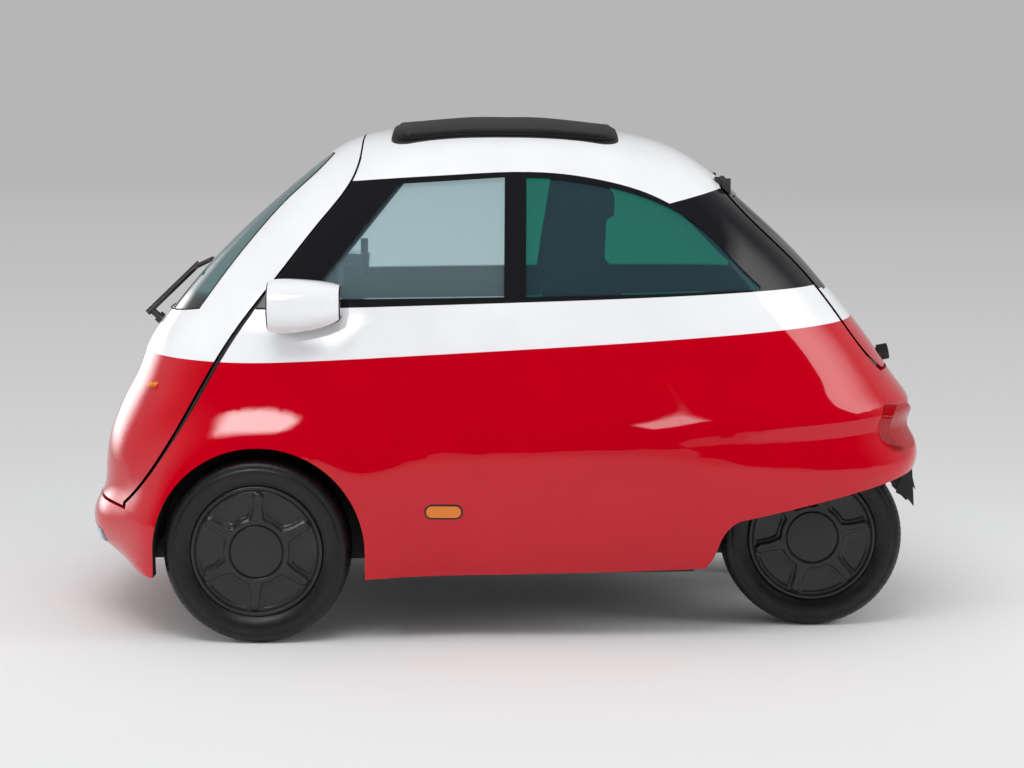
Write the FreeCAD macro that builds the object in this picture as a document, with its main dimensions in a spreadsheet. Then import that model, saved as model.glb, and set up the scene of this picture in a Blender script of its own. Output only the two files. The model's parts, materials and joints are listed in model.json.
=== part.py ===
import FreeCAD, Part
import Sketcher
import math
import os
import re
from FreeCAD import Placement, Rotation, Vector

# A two-seat bubble microcar that is entered through its front.
# Millimetres and degrees: +X to the car's front, +Y to its left, +Z up, origin on the ground.

SIZES = {
    "front_axle_station": 695.0,
    "wheelbase": 1566.0,
    "front_wheel_side": 626.0,
    "rear_wheel_side": 367.0,
    "tyre_radius": 259.5,
    "tyre_width": 135.0,
    "tyre_shoulder": 22.0,
    "rim_radius": 178.0,
    "rim_width": 114.0,
    "barrel_radius": 157.0,
    "barrel_wall": 5.0,
    "bead_room": 1.1,
    "hub_radius": 60.0,
    "hub_bore_radius": 16.3,
    "axle_radius": 16.0,
    "cover_radius": 182.0,
    "cover_offset": 50.0,
    "cover_wall": 12.0,
    "cover_relief": 7.0,
    "cap_radius": 71.0,
    "ring_radius": 90.0,
    "spoke_reach": 168.0,
    "spoke_width": 30.0,
    "spoke_count": 6.0,
    "wall": 45.0,
    "shut_gap": 8.0,
    "seam": 0.3,
    "glass": 4.0,
    "glass_depth": 5.0,
    "arch_radius": 293.0,
    "arch_station": 687.0,
    "arch_height": 260.0,
    "fender_swell": 722.0,
    "liner_wall": 4.0,
    "front_tub_side": 410.0,
    "rear_tub_side": 270.0,
    "rear_spring_side": 235.0,
    "jack_pad_side": 500.0,
    "jack_pad_radius": 32.0,
    "jack_pad_height": 176.0,
    "rear_arch_radius": 290.0,
    "floor_height": 190.0,
    "floor_wall": 25.0,
    "deck_height": 562.0,
    "deck_wall": 15.0,
    "bulkhead_station": -505.0,
    "toe_station": 1020.0,
    "kingpin_side": 595.0,
    "door_hinge_station": 800.0,
    "door_hinge_side": 600.0,
    "hatch_hinge_station": -612.0,
    "hatch_hinge_height": 1277.0,
    "hatch_hinge_side": 250.0,
    "chin_top": 352.0,
    "column_tilt": 35.0,
    "steering_station": 430.0,
    "steering_side": 240.0,
    "steering_height": 790.0,
    "steering_radius": 165.0,
    "seat_half_width": 520.0,
    "seat_base_height": 400.0,
    "seat_front": 430.0,
    "seat_back_station": 5.0,
    "seat_back_height": 560.0,
    "seat_rake": 12.0,
    "pod_side": 672.0,
}

# Rings of the body's outer surface, from the hem up to the crown of the roof.
# Each ring: height and reach at the nose, height and half width at the side, height and reach at the tail.
BODY_RINGS = {
    "hem": (160, 1085, 160, 650, 160, 1140),
    "keel": (188, 1150, 185, 668, 240, 1140),
    "chin_low": (215, 1204, 220, 684, 310, 1142),
    "chin": (255, 1230, 270, 696, 370, 1148),
    "chin_high": (300, 1233, 325, 704, 418, 1168),
    "lip": (335, 1218, 375, 709, 462, 1196),
    "notch": (368, 1197, 425, 711, 506, 1206),
    "shin": (420, 1196, 475, 711, 545, 1190),
    "knee": (480, 1192, 520, 709, 578, 1162),
    "thigh": (540, 1178, 560, 706, 609, 1154),
    "hip": (600, 1155, 600, 702, 638, 1182),
    "crest": (658, 1127, 640, 697, 672, 1161),
    "flank": (718, 1092, 690, 690, 712, 1126),
    "waist": (802, 1070, 760, 679, 777, 1086),
    "shoulder": (878, 1012, 850, 662, 860, 1025),
    "belt": (955, 952, 940, 639, 948, 950),
    "sash": (1060, 858, 1060, 600, 1060, 858),
    "pane": (1180, 733, 1180, 553, 1180, 726),
    "cant": (1285, 610, 1285, 507, 1285, 606),
    "rim": (1360, 516, 1352, 464, 1358, 500),
    "edge": (1404, 424, 1398, 400, 1402, 378),
    "roof": (1427, 250, 1423, 265, 1427, 195),
    "crown": (1434, 80, 1434, 90, 1434, 50),
}
RING_COLUMNS = ("nose_height", "nose_reach", "side_height", "half_width", "tail_height", "tail_reach")

# How square each ring is in plan at the nose and at the tail, and where it is widest
RING_SHAPES = {
    "hem": (3.0, 3.6, 420), "keel": (3.0, 3.7, 420), "chin_low": (3.0, 3.8, 420),
    "chin": (3.0, 3.9, 420), "chin_high": (3.0, 4.0, 420), "lip": (2.9, 4.0, 420),
    "notch": (2.8, 4.0, 420), "shin": (2.8, 4.0, 420), "knee": (2.8, 4.0, 410),
    "thigh": (2.8, 4.0, 400), "hip": (2.75, 4.0, 400), "crest": (2.75, 3.8, 390),
    "flank": (2.7, 3.6, 370), "waist": (2.7, 3.4, 350), "shoulder": (2.7, 3.3, 320),
    "belt": (2.7, 3.2, 280), "sash": (2.7, 3.2, 220), "pane": (2.7, 3.2, 150),
    "cant": (2.7, 3.1, 80), "rim": (2.7, 3.0, 30), "edge": (2.5, 2.7, 20),
    "roof": (2.2, 2.2, 10), "crown": (2.0, 2.0, 5),
}
NOSE_COLUMNS = 14
TAIL_COLUMNS = 16
SIDE = 900.0
HIGH = 1600.0

doc = FreeCAD.newDocument("Microcar")
sheet = doc.addObject("Spreadsheet::Sheet", "Sizes")


def fill_sheet():
    cells = dict(SIZES)
    for ring, values in BODY_RINGS.items():
        cells.update({f"{ring}_{column}": value for column, value in zip(RING_COLUMNS, values)})
    for row, (alias, value) in enumerate(cells.items(), start=1):
        sheet.set(f"A{row}", alias)
        sheet.set(f"B{row}", str(value))
        sheet.setAlias(f"B{row}", alias)
    doc.recompute()


def size(alias):
    return float(sheet.get(alias))


fill_sheet()
WHEELS = {
    "front_left": (size("front_axle_station"), size("front_wheel_side")),
    "front_right": (size("front_axle_station"), -size("front_wheel_side")),
    "rear_left": (size("front_axle_station") - size("wheelbase"), size("rear_wheel_side")),
    "rear_right": (size("front_axle_station") - size("wheelbase"), -size("rear_wheel_side")),
}
REAR_AXLE = size("front_axle_station") - size("wheelbase")
AXLE_HEIGHT = size("tyre_radius")


# Objects of the document

def bind(thing, path, formula):
    thing.setExpression(path, re.sub(r"[a-z_]{3,}", lambda word: "Sizes." + word.group(), formula))


def feature(name, shape):
    part = doc.addObject("Part::Feature", name)
    part.Label = name
    part.Shape = shape
    return part


# The body surface

def ring_points(ring):
    nose_height, nose_reach, side_height, half_width, tail_height, tail_reach = (
        size(f"{ring}_{column}") for column in RING_COLUMNS)
    nose_power, tail_power, widest = RING_SHAPES[ring]
    angles = [90.0 * step / NOSE_COLUMNS for step in range(NOSE_COLUMNS)]
    angles += [90.0 + 90.0 * step / TAIL_COLUMNS for step in range(TAIL_COLUMNS + 1)]
    half = []
    for angle in angles:
        along, across = math.cos(math.radians(angle)), math.sin(math.radians(angle))
        ahead = angle <= 90.0
        power = nose_power if ahead else tail_power
        reach = nose_reach - widest if ahead else tail_reach + widest
        spread = (abs(along) ** power + abs(across) ** power) ** (-1.0 / power)
        end_height = nose_height if ahead else tail_height
        height = end_height * along ** 2 + side_height * across ** 2
        half.append(Vector(widest + reach * spread * along, half_width * spread * across, height))
    return [swell(p) for p in half + [Vector(p.x, -p.y, p.z) for p in half[-2:0:-1]]]


def swell(point):
    """Push the surface out to the fender round the front wheel arch."""
    if abs(point.y) < size("front_tub_side"):
        return point
    arch = size("arch_radius")
    outer = 1.42 * arch
    reach = math.hypot(point.x - size("arch_station"), max(point.z - size("arch_height"), 0.0))
    share = min(1.0, max(0.0, (outer - reach) / (outer - 1.02 * arch)))
    share = share * share * (3.0 - 2.0 * share)
    side = abs(point.y) + (max(size("fender_swell"), abs(point.y)) - abs(point.y)) * share
    return Vector(point.x, math.copysign(side, point.y), point.z)


def body_net(depth):
    """Control points of the surface that lies depth inside the outer one."""
    net = [ring_points(ring) for ring in BODY_RINGS]
    if depth == 0.0:
        return net
    rows, columns = len(net), len(net[0])
    moved = []
    for i, ring in enumerate(net):
        if i == rows - 1:
            moved.append([Vector(p.x, p.y, p.z - depth) for p in ring])
            continue
        low, high = max(i - 2, 0), min(i + 2, rows - 1)
        row = []
        for j, point in enumerate(ring):
            around = ring[(j + 1) % columns] - ring[j - 1]
            upward = net[high][j] - net[low][j]
            normal = around.cross(upward)
            if i == 0:
                normal.z = 0.0
            normal.normalize()
            row.append(point - normal * depth)
        moved.append(row)
    return moved


SKINS = {}


def skin(depth):
    """Closed solid inside the body surface, moved in by depth."""
    if depth in SKINS:
        return SKINS[depth]
    net = body_net(depth)
    rows, columns = len(net), len(net[0])
    poles = [[net[i][j] for i in range(rows)] for j in range(columns)]
    spans = rows - 3
    surface = Part.BSplineSurface()
    surface.buildFromPolesMultsKnots(
        poles, [1] * (columns + 1), [4] + [1] * (spans - 1) + [4],
        [float(k) for k in range(columns + 1)], [float(k) for k in range(spans + 1)],
        True, False, 3, 3)
    side = surface.toShape()
    caps = [Part.Face(Part.Wire(edge)) for edge in side.Edges if edge.isClosed()]
    closed = Part.Compound([side] + caps)
    closed.sewShape()
    SKINS[depth] = Part.Solid(closed.Shells[0])
    return SKINS[depth]


def layer(outer_depth, inner_depth):
    return skin(outer_depth).cut(skin(inner_depth))


# Regions drawn in the side view and carried across the car

def chain(*stretches):
    """Closed wire in the side view: each stretch is (kind, points) and starts where the last ended."""
    edges = []
    start = None
    first = None
    for kind, points in stretches:
        places = [Vector(x, 0.0, z) for x, z in points]
        if start is not None:
            places = [start] + places
        else:
            first = places[0]
        if kind == "curve":
            curve = Part.BSplineCurve()
            curve.interpolate(places)
            edges.append(curve.toShape())
        else:
            edges += [Part.makeLine(a, b) for a, b in zip(places, places[1:])]
        start = places[-1]
    if (start - first).Length > 1e-6:
        edges.append(Part.makeLine(start, first))
    return Part.Wire(edges)


def across(wire, low=-SIDE, high=SIDE):
    face = Part.Face(wire)
    face.translate(Vector(0.0, low, 0.0))
    return face.extrude(Vector(0.0, high - low, 0.0))


def mirrored_shape(shape):
    return shape.mirror(Vector(0.0, 0.0, 0.0), Vector(0.0, 1.0, 0.0))


def block(x0, x1, y0, y1, z0, z1):
    return Part.makeBox(x1 - x0, y1 - y0, z1 - z0, Vector(x0, y0, z0))


def cross_cylinder(radius, x, z, low=-SIDE, high=SIDE):
    return Part.makeCylinder(radius, high - low, Vector(x, low, z), Vector(0.0, 1.0, 0.0))


# Shut line of the front door, from the roof down to the chin
DOOR_LINE = [(426, 1395), (436, 1294), (522, 1170), (646, 1010), (766, 852), (871, 676), (993, 473), (1083, 368)]
# Shut line of the tailgate, from the roof down to the tail
HATCH_LINE = [(-607, 1254), (-655, 1198), (-755, 1101), (-840, 1018), (-941, 892), (-1013, 794), (-1071, 732)]
# Underside of the roof panel over the side windows
CANT_LINE = [(434, 1272), (302, 1283), (165, 1292), (-5, 1301), (-137, 1297), (-246, 1281), (-384, 1243), (-446, 1214)]
BELT_FRONT = (720, 922)
BELT_REAR = (-900, 978)
WINDSCREEN_EDGE = [(507, 1345), (537, 1309), (631, 1220), (718, 1122), (790, 1030), (875, 911)]
SILL_REAR = [(-546, 208), (-575, 250), (-594, 300), (-622, 334), (-666, 350)]
SKIRT_REAR = (-1300, 478)
SIDE_PANE = [(562, 952), (310, 1266), (15, 1286), (15, 962)]
QUARTER_TOP = [(-45, 1284), (-137, 1281), (-246, 1265), (-384, 1227), (-530, 1150), (-635, 1050), (-703, 985)]


def shifted(points, dx, dz=0.0):
    return [(x + dx, z + dz) for x, z in points]


def door_region(shift=0.0, foot=0.0):
    """Where the door is: its shut gap is narrow at the roof and widens towards the chin."""
    head, chin = DOOR_LINE[0][1], DOOR_LINE[-1][1]
    line = [(x + shift * (0.65 + 0.75 * (head - z) / (head - chin)), z) for x, z in DOOR_LINE]
    low = size("chin_top") + foot
    return across(chain(("line", [(line[0][0], HIGH), line[0]]), ("curve", line[1:]),
                        ("line", [(line[-1][0], low), (1400, low), (1400, HIGH)])))


def hatch_region(shift=0.0, foot=0.0):
    line = shifted(HATCH_LINE, shift)
    tail = (line[-1][0], line[-1][1] + foot)
    return across(chain(("line", [(line[0][0], HIGH), line[0]]), ("curve", line[1:-1] + [tail]),
                        ("line", [(-1400, tail[1]), (-1400, HIGH)])))


def above_belt():
    return across(chain(("line", [BELT_FRONT, BELT_REAR, (-1400, BELT_REAR[1]), (-1400, HIGH), (1400, HIGH),
                                  (1400, BELT_FRONT[1])])))


def above_cant():
    return across(chain(("line", [(1400, 1272), CANT_LINE[0]]), ("curve", CANT_LINE[1:]),
                        ("line", [(-601, 1250), (-1400, 1250), (-1400, HIGH), (1400, HIGH)])))


def below_hem():
    """What the lower edge of the body cuts away."""
    return across(chain(("line", [(1400, 0), (1400, 190), (980, 186), (388, 187), (-546, 208)]),
                        ("curve", SILL_REAR[1:]), ("line", [SKIRT_REAR, (-1300, 0)])))


def front_arch():
    radius, x, z = size("arch_radius"), size("arch_station"), size("arch_height")
    return cross_cylinder(radius, x, z).fuse(block(x - radius, x + radius, -SIDE, SIDE, 0.0, z))


def half(sign):
    return block(-1500, 1500, 0, SIDE, 0, HIGH) if sign > 0 else block(-1500, 1500, -SIDE, 0, 0, HIGH)


# Panels

TAIL_SPLIT = -1071.0
CHIN_SPLIT = 980.0


def build_panels():
    wall = layer(0.0, size("wall"))
    gap = size("shut_gap") / 2.0
    door_hole = door_region(-gap)
    hatch_hole = hatch_region(gap)
    shell = wall.cut([door_hole, hatch_hole, below_hem(), front_arch()])
    lower = shell.cut(above_belt())
    chin = block(CHIN_SPLIT, 1400, -SIDE, SIDE, 0, size("chin_top"))
    tail = block(-1400, TAIL_SPLIT, -SIDE, SIDE, 0, 1000)
    sides = lower.cut([chin, tail])
    right_side = sides.common(half(-1))
    feature("side_panel_left", mirrored_shape(right_side))
    feature("side_panel_right", right_side)
    feature("front_bumper", lower.common(chin))
    feature("tail_panel", lower.common(tail))
    upper = shell.common(above_belt())
    opening = sunroof_region(0.0)
    feature("roof_panel", upper.common(above_cant()).cut(opening))
    band = upper.cut(above_cant())
    frames = band.cut([across(side_pane_wire()), across(quarter_wire())])
    right_frame = frames.common(half(-1))
    feature("window_frame_left", mirrored_shape(right_frame))
    feature("window_frame_right", right_frame)
    return wall


def side_pane_wire():
    return chain(("line", SIDE_PANE))


def quarter_wire():
    return chain(("line", [(-45, 963), QUARTER_TOP[0]]), ("curve", QUARTER_TOP[1:]), ("line", [(-703, 976)]))


def sunroof_region(grow):
    radius = 60.0
    x0, x1, side = -308.0 - grow, 339.0 + grow, 385.0 + grow
    slab = block(x0, x1, -side, side, 1290, HIGH)
    upright = [edge for edge in slab.Edges if abs(edge.tangentAt(edge.FirstParameter).z) > 0.9]
    return slab.makeFillet(radius, upright)


def build_windows():
    depth, thick = size("glass_depth"), size("glass")
    fixed = layer(depth, depth + thick)
    sliding = layer(depth + 8.0, depth + 8.0 + thick)
    feature("sliding_windows", sliding.common(across(side_pane_wire())))
    feature("quarter_windows", fixed.common(across(quarter_wire())))


def windscreen_region():
    return across(chain(("line", [(1400, 813), WINDSCREEN_EDGE[-1]]), ("curve", WINDSCREEN_EDGE[::-1][1:]),
                        ("line", [(1400, 1352)])))


def rear_window_region():
    line = shifted(HATCH_LINE, -30.0)
    return across(chain(("line", [(-640, 1228)]), ("curve", [line[2], line[3], (-905, 960)]),
                        ("line", [(-1400, 960), (-1400, 1228)])))


def build_door(wall):
    gap = size("shut_gap") / 2.0
    shell = wall.common(door_region(gap, size("shut_gap")))
    feature("door_shell", shell.cut(windscreen_region()))
    depth, thick = size("glass_depth"), size("glass")
    feature("windscreen", layer(depth, depth + thick).common(windscreen_region()))


def build_hatch(wall):
    gap = size("shut_gap") / 2.0
    shell = wall.common(hatch_region(-gap, size("shut_gap")))
    feature("tailgate_shell", shell.cut(rear_window_region()))
    depth, thick = size("glass_depth"), size("glass")
    feature("rear_window", layer(depth, depth + thick).common(rear_window_region()))


def build_sunroof():
    rim = layer(-3.0, size("wall")).common(sunroof_region(0.0)).cut(sunroof_region(-26.0))
    feature("sunroof_rail", rim)
    feature("sunroof_cover", layer(-15.0, -3.3).common(sunroof_region(-3.0)))


# Lamps, mirrors and trim on the body

def rounded(half_high, half_wide, power, steps=24):
    """Closed smooth ring in the YZ plane, a circle drawn square by its power."""
    points = []
    for step in range(steps):
        turn = math.radians(360.0 * step / steps)
        across_share, up_share = math.cos(turn), math.sin(turn)
        spread = (abs(across_share) ** power + abs(up_share) ** power) ** (-1.0 / power)
        points.append(Vector(0.0, half_wide * spread * across_share, half_high * spread * up_share))
    ring = Part.BSplineCurve()
    ring.interpolate(points, True)
    return Part.Wire(ring.toShape())


def pod_section(station, height, half_high, half_wide, power):
    ring = rounded(half_high, half_wide, power)
    ring.translate(Vector(station, size("pod_side"), height))
    return ring


def build_pods():
    shell = Part.makeLoft([
        pod_section(656, 939, 70, 68, 2.3), pod_section(628, 939, 74, 71, 2.4),
        pod_section(565, 941, 71, 69, 2.7), pod_section(497, 945, 60, 63, 3.0),
        pod_section(463, 949, 47, 54, 3.2)], True, False)
    side = size("pod_side")
    lens = Part.makeSphere(240.0, Vector(656 + 9 - 240, side, 939))
    lens = lens.common(Part.makeCylinder(62.0, 20.0, Vector(656.3, side, 939), Vector(1, 0, 0)))
    mirror = Part.makeLoft([pod_section(462.7, 949, 38, 45, 3.0), pod_section(459.5, 949, 37, 44, 3.0)], True)
    body = skin(-size("seam"))
    left = shell.cut(body)
    feature("headlamp_pods", Part.Compound([left, mirrored_shape(left)]))
    feature("headlamp_lenses", Part.Compound([lens, mirrored_shape(lens)]))
    mirror = mirror.cut(body)
    feature("mirror_glasses", Part.Compound([mirror, mirrored_shape(mirror)]))


def lozenge(x, z, half_long, half_high):
    middle = block(x - half_long + half_high, x + half_long - half_high, 300, SIDE, z - half_high, z + half_high)
    ends = [cross_cylinder(half_high, x + way * (half_long - half_high), z, 300, SIDE) for way in (-1, 1)]
    return middle.fuse(ends)


def build_markers():
    lens = layer(-6.0, -0.3).common(lozenge(178, 378, 48, 16))
    feature("side_markers", Part.Compound([lens, mirrored_shape(lens)]))
    plug = Part.makeCylinder(9.0, 400.0, Vector(800, 455, 695), Vector(1, 0, 0))
    lamp = layer(-14.0, -0.3).common(plug)
    feature("door_indicators", Part.Compound([lamp, mirrored_shape(lamp)]))
    slot = block(900, 1400, 300, 400, 232, 268)
    lamp = layer(-5.0, -0.3).common(slot)
    feature("bumper_lamps", Part.Compound([lamp, mirrored_shape(lamp)]))
    slot = Part.makeBox(600, 100, 128, Vector(-1500, 400, 524))
    slot = slot.makeFillet(40.0, [e for e in slot.Edges if abs(e.tangentAt(e.FirstParameter).x) > 0.9])
    lamp = layer(-24.0, -0.3).common(slot)
    feature("tail_lamps", Part.Compound([lamp, mirrored_shape(lamp)]))


def build_plate_carrier():
    plate = block(-1192, -1186, -130, 130, 318, 428)
    fins = [across(chain(("line", [(-1140, 440), (-1189, 445), (tip, low), (tip + 20, low + 24), (-1130, low + 48)])),
                   y - 4, y + 4) for y, tip, low in ((-205, -1198, 312), (-135, -1214, 350),
                                                     (135, -1214, 350), (205, -1198, 312))]
    bar = block(-1190, -1145, -210, 210, 406, 428)
    feature("plate_carrier", bar.fuse([plate] + fins).cut(skin(-size("seam"))))


# Pieces of revolution drawn as sketches

def outline_sketch(body, name, corners, plane="XZ_Plane"):
    """Closed outline whose corners are pairs of formulas over the sheet."""
    sketch = body.newObject("Sketcher::SketchObject", name)
    origin_plane = next(item for item in body.Origin.OriginFeatures if item.Role == plane)
    sketch.AttachmentSupport = [(origin_plane, "")]
    sketch.MapMode = "FlatFace"
    places = [Vector(value(x), value(y), 0.0) for x, y in corners]
    for start, end in zip(places, places[1:] + places[:1]):
        sketch.addGeometry(Part.LineSegment(start, end), False)
    count = len(corners)
    for line in range(count):
        sketch.addConstraint(Sketcher.Constraint("Coincident", line, 2, (line + 1) % count, 1))
    for line, (x, y) in enumerate(corners):
        for kind, formula, number in (("DistanceX", x, places[line].x), ("DistanceY", y, places[line].y)):
            index = sketch.addConstraint(Sketcher.Constraint(kind, -1, 1, line, 1, number))
            bind(sketch, f"Constraints[{index}]", formula)
    return sketch


def value(formula):
    """What a formula over the sheet comes to."""
    sheet.set("D1", "=" + formula)
    sheet.recompute()
    return float(sheet.get("D1"))


def revolved(name, corners):
    body = doc.addObject("PartDesign::Body", name)
    body.Label = name
    sketch = outline_sketch(body, name + "_outline", corners)
    turn = body.newObject("PartDesign::Revolution", name + "_turn")
    turn.Profile = sketch
    turn.ReferenceAxis = (sketch, ["V_Axis"])
    turn.Angle = 360.0
    sketch.Visibility = False
    return body


def stand_wheel(body, place):
    """Put a wheel made about +Z on its axle, outer face away from the car."""
    station, side = WHEELS[place]
    body.Placement = Placement(Vector(station, side, AXLE_HEIGHT),
                               Rotation(Vector(1, 0, 0), -90.0 if side > 0 else 90.0))
    bind(body, "Placement.Base.z", "tyre_radius")


TYRE_FACETS = 32
TYRE_HALF = [
    ("barrel_radius + bead_room", "rim_width / 2 - 22"),
    ("rim_radius", "rim_width / 2 - 10"),
    ("rim_radius + 5", "rim_width / 2 - 8"),
    ("rim_radius + 20", "tyre_width / 2 - 6"),
    ("rim_radius + 44", "tyre_width / 2"),
    ("tyre_radius - 10", "tyre_width / 2 - 10"),
    ("tyre_radius - 2", "tyre_width / 2 - tyre_shoulder"),
    ("tyre_radius", "0"),
]
CARCASS_HALF = [
    ("tyre_radius - 12", "tyre_width / 2 - 28"),
    ("rim_radius + 28", "tyre_width / 2 - 10"),
    ("rim_radius - 2", "rim_width / 2 - 24"),
]


def mirrored(half_outline):
    return [(radius, f"0 - ({side})") for radius, side in half_outline]


def build_tyre(place):
    """Hollow tyre in flat facets, with a corner of every ring at the ground."""
    outside = TYRE_HALF + mirrored(TYRE_HALF[:-1])[::-1]
    inside = mirrored(CARCASS_HALF)[::-1] + CARCASS_HALF
    angles = [2.0 * math.pi * step / TYRE_FACETS for step in range(TYRE_FACETS)]
    rings = []
    for radius, side in ((value(r), value(s)) for r, s in outside + inside):
        rings.append([Vector(radius * math.cos(angle), radius * math.sin(angle), side) for angle in angles])
    faces = []
    for ring, after in zip(rings, rings[1:] + rings[:1]):
        for k in range(TYRE_FACETS):
            corners = [ring[k - 1], ring[k], after[k], after[k - 1]]
            faces.append(Part.Face(Part.makePolygon(corners + corners[:1])))
    closed = Part.Compound(faces)
    closed.sewShape()
    tyre = Part.Solid(closed.Shells[0])
    if tyre.Volume < 0.0:
        tyre.reverse()
    stand_wheel(feature("tyre_" + place, tyre), place)


def build_wheel(place, turn):
    corners = [
        ("hub_bore_radius", "0 - 8"),
        ("hub_radius", "0 - 8"),
        ("hub_radius", "cover_offset - cover_wall - 6"),
        ("barrel_radius - barrel_wall", "cover_offset - cover_wall"),
        ("barrel_radius - barrel_wall", "0 - rim_width / 2"),
        ("rim_radius", "0 - rim_width / 2"),
        ("rim_radius", "0 - rim_width / 2 + 5"),
        ("barrel_radius", "0 - rim_width / 2 + 10"),
        ("barrel_radius", "cover_offset - 3"),
        ("cover_radius - 3", "cover_offset - 1"),
        ("cover_radius", "cover_offset + 1"),
        ("cover_radius", "cover_offset + 4"),
        ("cover_radius - 4", "cover_offset + 7"),
        ("cover_radius - 10", "cover_offset + 6"),
        ("cover_radius - 13", "cover_offset + 2"),
        ("ring_radius + 3", "cover_offset + 3"),
        ("ring_radius", "cover_offset + 3 + cover_relief"),
        ("cap_radius + 4", "cover_offset + 3 + cover_relief"),
        ("cap_radius + 2", "cover_offset + 1 + cover_relief"),
        ("cap_radius", "cover_offset + 1 + cover_relief"),
        ("cap_radius - 3", "cover_offset + 5 + cover_relief"),
        ("0", "cover_offset + 5 + cover_relief"),
        ("0", "cover_offset - cover_wall - 8"),
        ("hub_bore_radius", "cover_offset - cover_wall - 8"),
    ]
    body = revolved("wheel_" + place, corners)
    sketch = outline_sketch(body, "spoke_outline_" + place, [
        ("ring_radius - 4", "0 - spoke_width * 0.62"),
        ("ring_radius + 22", "0 - spoke_width / 2"),
        ("spoke_reach", "0 - spoke_width / 2"),
        ("spoke_reach", "spoke_width / 2"),
        ("ring_radius + 22", "spoke_width / 2"),
        ("ring_radius - 4", "spoke_width * 0.62"),
    ], "XY_Plane")
    bind(sketch, "AttachmentOffset.Base.z", "cover_offset + 1")
    spoke = body.newObject("PartDesign::Pad", "spoke_" + place)
    spoke.Profile = sketch
    bind(spoke, "Length", "cover_relief + 1.5")
    doc.recompute()
    ring = body.newObject("PartDesign::PolarPattern", "spokes_" + place)
    ring.Originals = [spoke]
    ring.Axis = (sketch, ["N_Axis"])
    ring.Angle = 360.0
    bind(ring, "Occurrences", "spoke_count")
    body.Tip = ring
    sketch.Visibility = False
    stand_wheel(body, place)
    body.Placement = body.Placement.multiply(Placement(Vector(), Rotation(Vector(0, 0, 1), turn)))


# Running gear

def cylinder(radius, start, end):
    run = Vector(*end) - Vector(*start)
    return Part.makeCylinder(radius, run.Length, Vector(*start), run)


def fused(*shapes):
    return shapes[0].fuse(list(shapes[1:])).removeSplitter()


def both_sides(name, left):
    feature(name, Part.Compound([left, mirrored_shape(left)]))


def build_knuckles():
    station, side = WHEELS["front_left"]
    kingpin = size("kingpin_side")
    hub_face = side - 8.0 - size("seam")
    height = AXLE_HEIGHT
    upright = fused(
        block(station - 20, station + 20, kingpin - 13, kingpin + 11, 157, 358),
        cylinder(45, (station, kingpin - 20, height), (station, hub_face, height)),
        cylinder(size("axle_radius"), (station, kingpin, height), (station, side + 28.0, height)),
        cylinder(17, (station, kingpin, 148), (station, kingpin, 372)),
        block(station, station + 104, kingpin - 24, kingpin - 6, 184, 196),
        cylinder(15, (station + 104, kingpin - 15, 184), (station + 104, kingpin - 15, 196)))
    feature("knuckle_left", upright)
    feature("knuckle_right", mirrored_shape(upright))


def build_front_suspension():
    """Two wishbones and a coil-over damper on each side of the tub."""
    station = WHEELS["front_left"][0]
    kingpin = size("kingpin_side")
    wall = size("front_tub_side") + 10.0
    rail = size("floor_height")
    low_ball, high_ball = 134.0, 384.0
    arms = [cylinder(11, (station + spread, wall - 60, 152), (station, kingpin, low_ball)) for spread in (-95, 95)]
    arms += [cylinder(11, (station + spread, wall + 12, high_ball), (station, kingpin, high_ball))
             for spread in (-60, 60)]
    balls = [cylinder(19, (station, kingpin, 118), (station, kingpin, 147.7)),
             cylinder(19, (station, kingpin, 372.3), (station, kingpin, 396))]
    roots = [block(station - 112, station + 112, wall - 74, wall - 46, 138, rail),
             block(station - 76, station + 76, wall, wall + 24, 370, 398)]
    damper = [cylinder(12, (station, 520, 134), (station, 492, 380)),
              cylinder(26, (station, 511, 225), (station, 470, 500)),
              block(station - 36, station + 36, wall, 496, 498, 522),
              block(station - 55, station + 55, 507, 528, 134, 152)]
    both_sides("front_suspension", fused(*arms, *balls, *roots, *damper))


def build_rear_axle():
    station, side = WHEELS["rear_left"]
    height = AXLE_HEIGHT
    hub_face = side - 8.0 - size("seam")
    deck = size("deck_height")
    bulkhead = size("bulkhead_station") - 15.0
    spring = size("rear_spring_side")
    solids = [cylinder(26, (station, -side + 40, height), (station, side - 40, height))]
    for way in (-1, 1):
        solids += [
            cylinder(45, (station, way * (side - 40), height), (station, way * hub_face, height)),
            cylinder(size("axle_radius"), (station, way * (side - 50), height), (station, way * (side + 28), height)),
            block(station, bulkhead - size("seam"), way * spring - 20, way * spring + 20, height - 22, height + 26),
            cylinder(16, (station + 40, way * spring, height), (station + 25, way * spring, 470)),
            cylinder(28, (station + 36, way * spring, height + 70), (station + 20, way * spring, deck)),
        ]
    below = block(-1500, 0, -SIDE, SIDE, 0, deck - size("seam"))
    feature("rear_axle", solids[0].fuse(solids[1:]).common(below).removeSplitter())


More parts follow.
